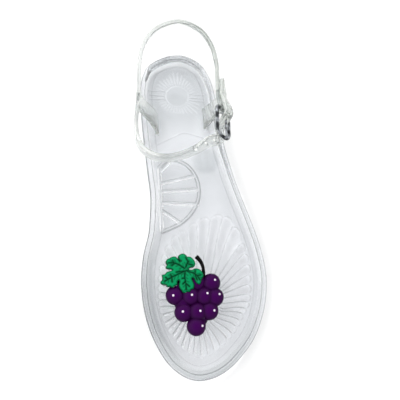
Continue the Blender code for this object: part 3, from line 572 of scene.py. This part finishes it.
def makeSole(material):
    form = soleForm
    half, count = form["half"], 2 * form["half"]
    lateralX, lateralY = soleSide(1)
    medialX, medialY = soleSide(2)
    x = np.concatenate([lateralX, -medialX[-2:0:-1]])
    y = np.concatenate([lateralY, medialY[-2:0:-1]])
    runX, runY = np.roll(x, -1) - np.roll(x, 1), np.roll(y, -1) - np.roll(y, 1)
    length = np.hypot(runX, runY)
    inX, inY = runY / length, -runX / length
    profile = throughPoints(form["rim"], form["rimSteps"])
    along, lateral, medial = zip(*tintForm["rim"])
    pinX, pinY, pinRadius, pinDark = tintForm["pin"]
    first, full, bright = tintForm["rimGlint"]
    rings, tints = [], []
    for inset, share, above in profile:
        px, py = x + inX * inset, y + inY * inset
        pz = soleRow(4, py) * (1 - share) + soleRow(3, py) * share + above
        # painted shade along the rim's lines and on its inner wall, a mould pin mark, painted highlight on
        # the heel rim
        crease = np.full(count, np.interp(inset, *zip(*form["rimCrease"])) * share)
        outer, inner = np.interp(py, along, lateral), np.interp(py, along, medial)
        haze = np.where(np.arange(count) <= half, outer, inner)
        haze *= share * (inset > tintForm["rimFrom"]) * (1 - ramp(form["reliefFrom"], profile[-1][0], inset))
        crease = np.maximum(crease, share * pinDark * tent(np.hypot(px - pinX, py - pinY), pinRadius))
        glint = share * bright * ramp(first, full, py)
        if inset >= form["reliefFrom"] and share == 1:
            height, lines, bed, glint = reliefForm(px, py)
            pz, crease, haze = pz + height, np.maximum(crease, lines), np.maximum(haze, bed)
        rings.append([inFrame(*p) for p in zip(px, py, pz)])
        tints.append((crease, haze, glint))
    sole = loftRings("clearSole", rings, capped=False)
    for ringIndex, cuts in ((len(rings) - 1, form["across"]), (0, form["underCuts"])):
        first = ringIndex * count
        before = len(sole.data.vertices)
        makeActive(sole)
        ops.object.mode_set(mode="EDIT")
        ops.mesh.select_mode(type="EDGE")
        ops.mesh.select_all(action="DESELECT")
        work = bmesh.from_edit_mesh(sole.data)
        work.verts.ensure_lookup_table()
        tips = (first, first + half)
        for k in range(count):
            a, b = first + k, first + (k + 1) % count
            if a not in tips and b not in tips:
                work.edges.get((work.verts[a], work.verts[b])).select_set(True)
        bmesh.update_edit_mesh(sole.data)
        ops.mesh.bridge_edge_loops(number_cuts=cuts, interpolation="LINEAR")
        ops.object.mode_set(mode="OBJECT")
        if ringIndex:
            co = coordinates(sole)
            bedX, bedY, _ = drawn(co[before:])
            height, *tint = reliefForm(bedX, bedY)
            co[before:, 2] = (soleRow(3, bedY) + height) * mm
            sole.data.vertices.foreach_set("co", co.ravel())
            tints.append(tint)
    ops.object.mode_set(mode="EDIT")
    capHoles()
    closeEdit()
    for name, values in zip(("crease", "haze", "glint"), zip(*tints)):
        values = np.concatenate(values)
        paint(sole, name, np.pad(values, (0, len(sole.data.vertices) - len(values))))
    for place, size in (tabSlot("inner"), tabSlot("outer")):
        combine(sole, roundBox("slot", place, size, tabs["slotEdge"]), "DIFFERENCE")
    combine(sole, turned("pocket", toePost["pocket"], sides=40), "DIFFERENCE")
    finishPiece(sole, material, ["sole"], sharp=60)


def roundBox(name, place, size, edge):
    deselect()
    ops.mesh.primitive_cube_add(size=1, location=inFrame(*place))
    box = bpy.context.active_object
    box.name = name
    box.scale = Vector(size) * mm
    ops.object.transform_apply()
    roundEdges(box, edge)
    applyModifiers(box)
    return box


def turned(name, rows, sides):
    # a turned shape from rows of radius and height
    x, y = toePost["place"]
    rings = []
    for radius, height in rows:
        turn = [2 * pi * k / sides for k in range(sides)]
        rings.append([inFrame(x + radius * cos(t), y + radius * sin(t), height) for t in turn])
    return loftRings(name, rings)


# ankle strap with its two side tabs, one moulding
strap = {
    "width": 8.4,
    "thick": 2.8,
    "corner": 1.0,
    "cornerSteps": 6,
    "steps": 10,
    "axis": (-5.0, 66.0),
    "heelRows": [  # x, y, z, lean in degrees
        (23.0, 65.0, 50.0, 28), (22.5, 76.0, 53.0, 18), (21.6, 88.0, 57.0, 12), (18.1, 100.2, 61.0, 16),
        (9.8, 109.8, 64.4, 24), (-4.0, 114.5, 66.0, 29), (-18.6, 110.2, 64.5, 22), (-27.6, 101.2, 61.4, 12),
        (-31.6, 90.0, 57.7, 6), (-33.0, 77.0, 53.3, 4), (-34.0, 63.5, 50.0, 4)],
    "frontRows": [
        (-36.0, 50.0, 50.0, 5), (-36.2, 38.0, 51.0, 6), (-33.2, 28.0, 52.5, 8), (-26.6, 21.6, 54.0, 7),
        (-17.6, 19.2, 55.0, 7), (-7.0, 20.6, 55.5, 10), (3.2, 24.8, 55.3, 18), (12.0, 30.4, 54.0, 32)],
    # share of the buckle, height
    "threadRows": [(0.0, -3.2), (0.34, -2.72), (0.56, 0.75), (0.78, 4.7), (1.0, 4.7)],
    "tailShares": (0.0, 0.35, 0.7),
    "tailOffset": 3.3,
    "tipTurns": (12, 25, 37, 50, 61, 72, 82),
    "holeRadius": 1.1,
    "holePitch": 8.0,
    "holeStart": 0.75,
    "holes": 3,
    "rollSpare": 0.2,
    "slotPlace": (0.45, 0.9),  # slot for the prong: middle and length, shares of the buckle
    "slotSpare": 0.3,
    # painted shade line on the upper inner edge in front: from, to, width, darkness
    "edgeShadeLine": (-37.0, 6.0, 2.2, 0.9),
}

tabs = {
    "inner": [  # x, y, z, breadth
        (-20.5, 64.5, 4.5, 17.0), (-20.7, 64.5, 12.0, 17.0), (-24.4, 64.2, 25.0, 14.5),
        (-29.8, 63.8, 38.0, 12.5), (-33.7, 63.5, 49.0, 14.0)],
    "outer": [
        (18.6, 68.0, 4.5, 17.0), (18.8, 68.0, 12.0, 17.0), (22.2, 67.2, 25.0, 14.5), (24.8, 66.0, 38.0, 12.5),
        (23.6, 65.0, 48.5, 14.0)],
    "slotFloor": 4.0,
    "slotHeight": 12.0,
    "slotSpare": 0.45,
    "slotEdge": 0.5,
}

buckle = {
    "bar": 1.2,
    "front": Vector((22.8, 34.2, 52.0)),
    "rear": Vector((24.4, 55.5, 50.0)),
    "lean": 42,
    "width": 14.8,
    "corners": (2.2, 5.2),  # rear, front
    "cornerSteps": 13,
    "prong": 0.8,
    "prongHeight": 2.3,
    "pastBar": 1.6,
    "prongSteps": 8,
    "eyeTurns": (-190, 280),  # degrees where the prong's eye starts, and how far it turns
    "eyeSteps": 24,
    "roll": 2.8,
    "bore": 1.5,
    "notch": 3.2,
    "notchReach": (-5.0, 3.6, -5.0, 3.05),
}


def tabSlot(side):
    x, y, _, breadth = tabs[side][0]
    spare = tabs["slotSpare"]
    size = (strap["thick"] + 2 * spare, breadth + 2 * spare, tabs["slotHeight"])
    return (x, y, tabs["slotFloor"] + size[2] / 2), size


def buckleAxes():
    along = (buckle["rear"] - buckle["front"]).normalized()
    out = along.cross(upward).normalized()
    up = out.cross(along)
    lean = radians(buckle["lean"])
    return along, up * cos(lean) - out * sin(lean), out * cos(lean) + up * sin(lean)


def strapPlace(row, outward=0.0):
    point = Vector(row[:3])
    inward = (Vector((*strap["axis"], point.z)) - point).normalized()
    lean = radians(row[3])
    across = upward * cos(lean) + inward * sin(lean)
    normal = upward * sin(lean) - inward * cos(lean)
    return [*(point + normal * outward), *across, strap["width"]]


def strapPath():
    _, across, normal = buckleAxes()
    front, rear = buckle["front"], buckle["rear"]
    places = [[*rear, *across, strap["width"]]]
    places += [strapPlace(row) for row in strap["heelRows"] + strap["frontRows"]]
    for share, height in strap["threadRows"]:
        places.append([*(front.lerp(rear, share) + normal * height), *across, strap["width"]])
    first, second = (np.array(row) for row in strap["heelRows"][:2])
    for share in strap["tailShares"]:
        places.append(strapPlace(first + (second - first) * share, strap["tailOffset"]))
    path = list(throughPoints(places, strap["steps"]))
    end = path[-1]
    run = end[:3] - path[-2][:3]
    run /= np.linalg.norm(run)
    for angle in strap["tipTurns"]:
        turn = radians(angle)
        tip = end.copy()
        tip[:3] += run * strap["width"] / 2 * sin(turn)
        tip[6] *= cos(turn)
        path.append(tip)
    return np.array(path)


def bandSection(width):
    corner = min(strap["corner"], width / 3)
    return roundOblong(strap["thick"] / 2, width / 2, (corner, corner), strap["cornerSteps"])


def sweepBand(name, path):
    rings = []
    for k, row in enumerate(path):
        point = Vector(row[:3])
        run = runAt(path, k).normalized()
        across = Vector(row[3:6])
        across = (across - run * across.dot(run)).normalized()
        normal = across.cross(run)
        rings.append([inFrame(*(point + normal * a + across * b)) for a, b in bandSection(row[6])])
    return loftRings(name, rings)


def rod(name, place, aim, radius, length, sides=32):
    deselect()
    ops.mesh.primitive_cylinder_add(vertices=sides, radius=radius * mm, depth=length * mm)
    made = bpy.context.active_object
    made.name = name
    made.matrix_world = aimed(inFrame(*place), aim)
    ops.object.transform_apply()
    return made


def makeStrap(material):
    along, across, normal = buckleAxes()
    front, rear = buckle["front"], buckle["rear"]
    path = strapPath()
    band = sweepBand("ankleStrap", path)
    for side in ("inner", "outer"):
        rows = [[x, y, z, 0, 1, 0, breadth] for x, y, z, breadth in tabs[side]]
        combine(band, sweepBand("tab", throughPoints(rows, strap["steps"])), "UNION")
    rollLength = strap["width"] - strap["rollSpare"]
    combine(band, rod("roll", rear, across, buckle["roll"], rollLength, sides=48), "UNION")
    combine(band, rod("bore", rear, across, buckle["bore"], 2 * strap["width"]), "DIFFERENCE")
    low, high, inner, outer = buckle["notchReach"]
    deselect()
    ops.mesh.primitive_cube_add(size=1)
    notch = bpy.context.active_object
    turn = Matrix((along, across, normal)).transposed().to_4x4()
    size = Matrix.Diagonal(Vector((high - low, buckle["notch"], outer - inner, 1 / mm)) * mm)
    shift = Matrix.Translation(Vector(((low + high) / 2, 0, (inner + outer) / 2)) * mm)
    notch.data.transform(Matrix.Translation(inFrame(*rear)) @ turn @ shift @ size)
    combine(band, notch, "DIFFERENCE")
    middle, share = strap["slotPlace"]
    slotMiddle = front.lerp(rear, middle) + normal * buckle["prongHeight"]
    slotRadius, slotLength = buckle["prong"] + strap["slotSpare"], (rear - front).length * share
    combine(band, rod("prongSlot", slotMiddle, along, slotRadius, slotLength), "DIFFERENCE")
    target = front + normal * strap["threadRows"][0][1]
    k = int(np.argmin(np.linalg.norm(path[:, :3] - np.array(target), axis=1)))
    walked, made = 0.0, 0
    while made < strap["holes"]:
        step = Vector(path[k - 1][:3]) - Vector(path[k][:3])
        walked += step.length
        if walked > strap["holePitch"] * (made + strap["holeStart"]):
            aim = Vector(path[k][3:6]).cross(-step.normalized())
            hole = rod("hole", path[k][:3], aim, strap["holeRadius"], 3 * strap["thick"], sides=24)
            combine(band, hole, "DIFFERENCE")
            made += 1
        k -= 1
    x, y, z = drawn(coordinates(band))
    left, right, front, back, low, high, strength = tintForm["strap"]
    haze = strength * ramp(left, right, x) * ramp(front, back, y) * ramp(low, high, z)
    paint(band, "haze", haze)
    # painted shade line along the upper inner edge of the front
    first, last, reach, dark = strap["edgeShadeLine"]
    far = np.full_like(x, farAway)
    for row in path:
        if first < row[0] < last and row[1] < strap["axis"][1] - strap["holePitch"]:
            inward = Vector((*strap["axis"], row[2])) - Vector(row[:3])
            corner = Vector(row[:3]) + Vector(row[3:6]) * row[6] / 2
            corner += inward.normalized() * strap["thick"] / 2
            far = np.minimum(far, np.sqrt((x - corner.x) ** 2 + (y - corner.y) ** 2 + (z - corner.z) ** 2))
    paint(band, "crease", dark * tent(far, reach))
    finishPiece(band, material, ["upper"], sharp=35)


toePost = {
    "place": (-4.5, -63.0),
    "rows": [  # radius, height
        (0.4, 24.2), (8.1, 24.2), (8.8, 23.9), (9.0, 23.4), (8.9, 22.8), (8.2, 22.2), (6.6, 21.6),
        (5.2, 21.1), (4.4, 20.6), (3.6, 19.5), (3.15, 18.3), (3.0, 17.0), (3.0, 14.0), (3.0, 11.5),
        (3.2, 10.2), (3.7, 9.1), (4.7, 7.9), (6.0, 7.05), (6.1, 6.85), (3.0, 6.85), (3.0, 3.6), (2.7, 3.3),
        (0.4, 3.3)],
    "pocket": [(0.4, 3.0), (3.3, 3.0), (3.3, 11.0), (0.4, 11.0)],
}

# grape charm: berries, leaf and stem moulded in their own colours, white dots painted on
charm = {
    "back": 24.5,
    "berryRadius": 6.4,
    "flatten": 0.72,
    "berries": [  # x, y, height of the middle over the back
        (9.4, -61.8, 2.2), (-0.4, -60.9, 1.6), (-15.7, -68.2, 2.2), (-5.4, -69.6, 2.8), (3.9, -70.4, 3.0),
        (10.8, -71.4, 2.2), (-10.6, -79.6, 2.3), (-1.4, -80.0, 2.9), (6.4, -79.9, 2.3), (-3.0, -89.2, 2.3),
        (-10.2, -73.6, 0.6), (-12.8, -64.0, 0.4), (-0.6, -83.6, 0.3)],
    "shown": 10,  # the rest fill the gaps from below
    "dots": [(11.6, -60.2), (-17.2, -68.3), (-4.8, -68.9), (5.6, -68.6), (13.9, -69.8), (-11.6, -79.1),
             (-0.1, -79.6), (9.4, -80.1), (0.7, -89.2)],
    "dotRadius": 0.76,
    "dotThick": 0.3,
    "leastSquare": 0.5,  # a dot's height over the berry's middle, squared, is no less
    # painted shade between the berries: darkness, width
    "crease": 0.28,
    "creaseWidth": 3.2,
    "footShade": (0.5, 4.0),  # heights over which the painted shade at the berries' foot fades
    # painted highlight on the berries' tops: strength, power
    "swell": 0.6,
    "highlightPower": 4,
    "stemSpare": 0.3,
}

leaf = {
    "outline": [  # seen from above
        (-10.1, -45.8), (-11.0, -45.3), (-11.9, -43.4), (-11.1, -41.9), (-8.9, -41.3), (-6.9, -42.4),
        (-6.3, -43.5), (-4.1, -43.8), (-2.3, -45.4), (-1.2, -47.4), (-1.4, -49.5), (-2.4, -50.3),
        (-4.1, -50.4), (-5.2, -51.0), (-5.7, -51.8), (-4.3, -52.6), (-2.8, -52.5), (-1.2, -51.9),
        (1.1, -52.4), (2.9, -53.8), (3.8, -56.2), (3.3, -58.0), (2.4, -58.8), (1.9, -60.5),
        (0.8, -62.2), (-0.6, -61.4), (-1.5, -60.3), (-2.1, -58.4), (-3.4, -57.5), (-4.3, -58.3),
        (-3.7, -60.1), (-3.0, -62.6), (-3.7, -64.8), (-5.2, -65.1), (-6.3, -66.9), (-7.5, -66.2),
        (-8.8, -66.9), (-10.4, -66.7), (-11.3, -65.2), (-12.4, -63.7), (-12.7, -61.5), (-12.1, -59.6),
        (-12.7, -58.3), (-14.0, -59.4), (-14.3, -61.3), (-16.0, -62.1), (-17.3, -63.0), (-18.7, -62.1),
        (-20.4, -62.2), (-21.2, -61.0), (-23.1, -60.6), (-24.6, -59.8), (-24.6, -58.6), (-23.6, -58.0),
        (-23.3, -56.0), (-23.5, -54.6), (-21.8, -54.3), (-20.2, -52.8), (-17.8, -52.4), (-16.3, -51.6),
        (-17.3, -50.7), (-19.8, -50.2), (-20.7, -49.2), (-19.5, -47.9), (-20.3, -46.6), (-20.0, -44.7),
        (-18.3, -44.0), (-16.3, -43.0), (-13.8, -43.1), (-12.7, -44.7), (-11.6, -46.3), (-10.5, -46.6)],
    "outlineSteps": 3,
    "veins": [
        [(-8.4, -51.3), (-12.3, -48.3), (-16.0, -46.9), (-18.9, -46.9)], [(-15.3, -47.1), (-16.2, -45.3)],
        [(-15.1, -47.2), (-16.9, -48.8)], [(-7.6, -50.6), (-6.4, -48.0), (-5.3, -46.6)],
        [(-6.5, -48.1), (-2.9, -49.4)], [(-5.7, -47.0), (-7.1, -44.1)],
        [(-14.0, -53.3), (-9.2, -53.1), (-5.8, -52.6)],
        [(-9.2, -53.3), (-13.2, -54.9), (-17.1, -56.3), (-22.3, -58.8)], [(-17.1, -56.3), (-18.2, -54.6)],
        [(-17.4, -56.5), (-17.3, -59.6)], [(-20.1, -57.6), (-21.4, -56.3)],
        [(-8.2, -53.2), (-8.8, -56.9), (-8.3, -61.2), (-8.3, -65.4)], [(-8.5, -59.8), (-10.3, -61.5)],
        [(-8.3, -61.2), (-6.1, -63.3)], [(-8.7, -57.9), (-10.5, -57.7)],
        [(-6.8, -53.3), (-3.0, -54.5), (-0.3, -56.6), (1.5, -59.6)], [(-1.6, -55.4), (-1.4, -53.1)],
        [(0.0, -56.7), (2.2, -56.3)], [(-1.6, -55.8), (-0.5, -59.4)]],
    "top": 7.4,
    "room": 9.0,  # height of the berries' cut
    "voxel": 0.22,
    "spare": 0.12,  # gap to the berries
    "grow": 0.32,
    "veinDepth": 1.0,
    "veinWidth": 0.2,
    "puffWidth": 0.6,
    "fineStep": 2.4,  # side veins: spacing, length, turn from the main vein
    "fineReach": 2.8,
    "fineTurn": 48,
    "fineShare": 0.34,
    # painted highlight on the lobes away from veins and edge
    "swell": 0.75,
    "edgeDrop": 1.2,
    "edgeWidth": 0.9,
    "sinkFrom": 2.0,  # height from which the top is modelled
    "edgeShade": (0.6, 0.2),  # darkness and width of the painted shade along the leaf's edge
    "highlightRise": (0.2, 1.3),  # distance from a vein over which the painted highlight rises
    "fineLift": 0.5,  # a side vein counts as this much further off, for a stronger painted highlight near it
}

stemForm = {
    "rows": [  # x, y, height over the back, radius
        (0.5, -43.2, 2.6, 1.55), (3.0, -46.4, 2.8, 1.35), (4.4, -50.2, 3.0, 1.15), (4.8, -54.2, 3.0, 1.05),
        (4.7, -57.6, 3.0, 1.05)],
    "sides": 28,
    "ends": 0.35,
    "endAngle": 60,
}


def makeBerries(material):
    cluster = None
    for x, y, rise in charm["berries"]:
        deselect()
        ops.mesh.primitive_uv_sphere_add(segments=44, ring_count=26, radius=charm["berryRadius"] * mm,
                                         location=inFrame(x, y, charm["back"] + rise))
        berry = bpy.context.active_object
        berry.scale.z = charm["flatten"]
        ops.object.transform_apply()
        openEdit(berry)
        ops.mesh.bisect(plane_co=inFrame(0, 0, charm["back"]), plane_no=-upward,
                        use_fill=True, clear_outer=True)
        ops.object.mode_set(mode="OBJECT")
        if cluster is None:
            cluster = berry
            cluster.name = "grapeBerries"
        else:
            combine(cluster, berry, "UNION")
    combine(cluster, leafPrism("leafRoom", leaf["grow"] + leaf["spare"], leaf["room"]), "DIFFERENCE")
    combine(cluster, stemBody("stemRoom", charm["stemSpare"]), "DIFFERENCE")
    # painted shade between the berries and at their foot, painted highlight on their tops
    x, y, z = drawn(coordinates(cluster))
    up = coordinates(cluster, "normal")[:, 2]
    gaps = np.sort([np.hypot(x - bx, y - by) for bx, by, _ in charm["berries"][:charm["shown"]]], axis=0)
    between = ramp(0.0, charm["creaseWidth"], gaps[1] - gaps[0])
    foot = ramp(*charm["footShade"], z - charm["back"])
    paint(cluster, "crease", charm["crease"] * (1 - np.minimum(between, foot)))
    paint(cluster, "swell", charm["swell"] * np.clip(up, 0, 1) ** charm["highlightPower"])
    finishPiece(cluster, material, ["grape_cluster"], sharp=30)


def leafEdge(grow):
    points, steps = leaf["outline"], leaf["outlineSteps"]
    edge = throughPoints(points[-1:] + points + points[:2], steps)[steps:-steps - 1]
    run = np.roll(edge, -1, axis=0) - np.roll(edge, 1, axis=0)
    run /= np.hypot(run[:, 0], run[:, 1])[:, None]
    return edge + np.stack([-run[:, 1], run[:, 0]], 1) * grow


def leafPrism(name, grow, top):
    heights = (charm["back"], charm["back"] + top)
    return loftRings(name, [[inFrame(x, y, z) for x, y in leafEdge(grow)] for z in heights])


def sideVeins():
    # short pairs of veins along the longer ones
    made = []
    for line in leaf["veins"]:
        if len(line) < 3:
            continue
        walked = leaf["fineStep"] / 2
        for a, b in pairs(throughPoints(line, steps=10)):
            step = b - a
            length = np.hypot(*step)
            walked += length
            if walked > leaf["fineStep"]:
                walked = 0.0
                for way in (-1, 1):
                    turn = radians(way * leaf["fineTurn"])
                    aim = np.array((step[0] * cos(turn) - step[1] * sin(turn),
                                    step[0] * sin(turn) + step[1] * cos(turn))) / length
                    made.append((a, a + aim * leaf["fineReach"]))
    return made


def makeLeaf(material):
    body = leafPrism("vineLeaf", leaf["grow"], leaf["top"])
    grid = body.modifiers.new("grid", "REMESH")
    grid.mode = "VOXEL"
    grid.voxel_size = leaf["voxel"] * mm
    soft = body.modifiers.new("soft", "SMOOTH")
    soft.factor = 0.5
    soft.iterations = 4
    applyModifiers(body)
    co = coordinates(body)
    x, y, z = drawn(co)
    edge = leafEdge(leaf["grow"])
    rim = nearest(x, y, pairs([*edge, edge[0]]))
    vein = nearest(x, y, [pair for line in leaf["veins"] for pair in pairs(line)])
    fine = nearest(x, y, sideVeins())
    width, puff, share = leaf["veinWidth"], leaf["puffWidth"], leaf["fineShare"]
    groove = np.maximum(np.exp(-(vein / width) ** 2), share * np.exp(-(fine / width) ** 2))
    sink = leaf["veinDepth"] * np.maximum(np.exp(-vein / puff), share * np.exp(-fine / puff))
    sink += leaf["edgeDrop"] * np.exp(-rim / leaf["edgeWidth"])
    co[:, 2] -= sink * ramp(leaf["sinkFrom"], leaf["top"] - leaf["spare"], z - charm["back"]) * mm
    body.data.vertices.foreach_set("co", co.ravel())
    # painted shade in the vein grooves and along the edge, painted highlight on the lobes between them
    dark, width = leaf["edgeShade"]
    paint(body, "crease", np.maximum(groove, dark * (1 - ramp(0.0, width, rim))))
    line = np.minimum.reduce([vein, rim, fine + leaf["fineLift"]])
    paint(body, "swell", leaf["swell"] * ramp(*leaf["highlightRise"], line))
    finishPiece(body, material, ["vine_leaf"], sharp=50)


def stemBody(name, grow=0.0):
    path = throughPoints(stemForm["rows"], steps=6)
    sides = stemForm["sides"]
    rings = []
    for k, (x, y, rise, radius) in enumerate(path):
        run = runAt(path, k)
        side = run.cross(upward).normalized()
        up = side.cross(run).normalized()
        ring = []
        for s in range(sides):
            turn = 2 * pi * s / sides
            off = (side * cos(turn) + up * sin(turn)) * (radius + grow)
            ring.append(inFrame(x + off.x, y + off.y, charm["back"] + rise + off.z))
        rings.append(ring)
    return loftRings(name, rings)


def makeStem(material):
    stem = stemBody("grapeStem")
    roundEdges(stem, stemForm["ends"]).angle_limit = radians(stemForm["endAngle"])
    applyModifiers(stem)
    finishPiece(stem, material, ["grape_stem"])


def makeDots(material):
    made = []
    radius, flatten = charm["berryRadius"], charm["flatten"]
    berries = charm["berries"][:charm["shown"]]
    for dotX, dotY in charm["dots"]:
        x, y, rise = min(berries, key=lambda berry: hypot(berry[0] - dotX, berry[1] - dotY))
        dx, dy = dotX - x, dotY - y
        dz = sqrt(max(charm["leastSquare"], radius ** 2 - dx * dx - dy * dy))
        normal = Vector((dx, dy, dz / flatten)).normalized()
        deselect()
        ops.mesh.primitive_uv_sphere_add(segments=20, ring_count=10, radius=charm["dotRadius"] * mm)
        dot = bpy.context.active_object
        place = inFrame(dotX, dotY, charm["back"] + rise + dz * flatten)
        flat = Matrix.Diagonal((1, 1, charm["dotThick"] / charm["dotRadius"], 1))
        dot.data.transform(aimed(place, normal) @ flat)
        made.append(dot)
    deselect()
    for dot in made:
        dot.select_set(True)
    bpy.context.view_layer.objects.active = made[0]
    ops.object.join()
    made[0].name = "berryDots"
    finishPiece(made[0], material)


def wire(name, points, radius, closed):
    curve = bpy.data.curves.new(name, "CURVE")
    curve.dimensions = "3D"
    curve.bevel_depth = radius * mm
    curve.bevel_resolution = 6
    curve.use_fill_caps = not closed
    line = curve.splines.new("POLY")
    line.points.add(len(points) - 1)
    for k, point in enumerate(points):
        line.points[k].co = (*inFrame(*point), 1)
    line.use_cyclic_u = closed
    made = bpy.data.objects.new(name, curve)
    bpy.context.scene.collection.objects.link(made)
    makeActive(made)
    ops.object.convert(target="MESH")
    made = bpy.context.active_object
    openEdit(made)
    ops.mesh.remove_doubles(threshold=0.01 * mm)
    closeEdit()
    return made


def makeBuckle(material):
    along, across, normal = buckleAxes()
    front, rear = buckle["front"], buckle["rear"]
    halfLong, halfWide = (rear - front).length / 2, buckle["width"] / 2
    points = [(front + rear) / 2 + along * a + across * b
              for a, b in roundOblong(halfLong, halfWide, buckle["corners"], buckle["cornerSteps"])]
    bent = wire("buckleFrame", points, buckle["bar"], closed=True)
    finishPiece(bent, material, ["buckle_frame"], sharp=60)
    eye, steps, (first, turns) = buckle["prongHeight"], buckle["eyeSteps"], buckle["eyeTurns"]
    points = []
    for step in range(steps):
        angle = radians(first + turns * step / (steps - 1))
        points.append(rear + along * eye * cos(angle) + normal * eye * sin(angle))
    tip = front - along * buckle["pastBar"] + normal * eye
    steps = buckle["prongSteps"]
    points += [(rear + normal * eye).lerp(tip, (k + 1) / steps) for k in range(steps)]
    bent = wire("buckleProng", points, buckle["prong"], closed=False)
    finishPiece(bent, material, ["buckle_prong"], sharp=60)


# edge and crease colours are painted shade
soleClear = clearPvc("clear moulded PVC, sole", tint="#F6F7F9", edge="#D6D9DB", haze="#B4B9BB",
                     crease="#42474A", absorb="#DEE1E3", density=8.0, ripple=9.0, milk=0.0)
strapClear = clearPvc("clear moulded PVC, strap", tint="#F2F4F3", edge="#E6E8E6", haze="#BAC0BA",
                      crease="#808480", absorb="#D7DDDA", density=10.0, ripple=7.0, milk=0.12)
# crease colours are painted shade; the painted highlight lifts the colour toward the light one
purple = solidPvc("purple moulded PVC", "#24002B", "#3E024F", patch=6.0, roughness=0.42, crease="#120017")
green = solidPvc("green moulded PVC", "#004D2A", "#058F57", patch=5.0, roughness=0.42, crease="#00140C")
makeSole(soleClear)
makeStrap(strapClear)
finishPiece(turned("toePost", toePost["rows"], sides=56), strapClear, ["toe_post"], sharp=50)
makeBerries(purple)
makeLeaf(green)
makeStem(solidPvc("black moulded PVC", "#0B0A0B", "#161416", patch=4.0, roughness=0.36))
makeDots(solidPvc("white dot paint", "#DCD3DE", "#EFE9F0", patch=2.0, roughness=0.35))
makeBuckle(chromePlate("chrome plate"))

# studio: pale paper floor, soft sky that is dim near the horizon and overhead and brighter on one side
studio = {
    "floorSize": 30.0,
    "floorDrop": 0.0004,
    # height of the aim, level
    "bands": [(0.0, 0.4), (0.14, 0.45), (0.3, 1.0), (0.72, 1.0), (0.88, 0.3), (1.0, 0.2)],
    "strength": 1.82,
    "keyAim": (-0.5, 0.5, 0.0),
    "keyShare": 0.5,
    "keyReach": 0.7,
    "bounces": 32,
}
deselect()
ops.mesh.primitive_plane_add(size=studio["floorSize"], location=(0, 0, -studio["floorDrop"]))
floor = bpy.context.active_object
floor.name = "studioFloor"
floor.data.materials.append(paperFloor("backdrop paper"))

world = bpy.data.worlds.new("studioSky")
bpy.context.scene.world = world
world.use_nodes = True
sky = world.node_tree
sky.nodes.clear()
aim = addNode(sky, "TexCoord").outputs["Generated"]
parts = addNode(sky, "SeparateXYZ", None, {0: aim})
level = addNode(sky, "ValToRGB", None, {0: parts.outputs["Z"]})
stops = level.color_ramp.elements
for place, value in studio["bands"][1:-1]:
    stops.new(place)
for stop, (place, value) in zip(stops, studio["bands"]):
    stop.position = place
    stop.color = (value, value, value, 1)
side = addNode(sky, "VectorMath", {"operation": "DOT_PRODUCT", 1: studio["keyAim"]}, {0: aim})
low, high = (studio["strength"] * (1 + way * studio["keyShare"]) for way in (-1, 1))
reach = studio["keyReach"]
power = addNode(sky, "MapRange", {"From Min": -reach, "From Max": reach, "To Min": low, "To Max": high},
                {"Value": side.outputs["Value"]})
glow = addNode(sky, "Background", None, {"Color": level, "Strength": power})
wall = addNode(sky, "Background", {"Color": linear("#FFFFFF")})
ray = addNode(sky, "LightPath")
seen = addNode(sky, "MixShader", None, {0: ray.outputs["Is Camera Ray"], 1: glow, 2: wall})
addNode(sky, "OutputWorld", None, {"Surface": seen})
paths = bpy.context.scene.cycles
paths.max_bounces = paths.transmission_bounces = paths.glossy_bounces = studio["bounces"]
paths.blur_glossy = 0.0  # keeps the light that the clear sole passes to the floor

view = {"place": (-0.04408, -0.07736, 0.3202), "turn": (14.859, -7.070, -4.653), "lens": 38.5}
cameraData = bpy.data.cameras.new("photoCamera")
camera = bpy.data.objects.new("photoCamera", cameraData)
bpy.context.scene.collection.objects.link(camera)
camera.location = view["place"]
camera.rotation_euler = [radians(a) for a in view["turn"]]
cameraData.lens = view["lens"]
cameraData.clip_start = 0.01
bpy.context.scene.camera = camera
bpy.context.scene.view_settings.view_transform = "Standard"
print("studio and camera ready")
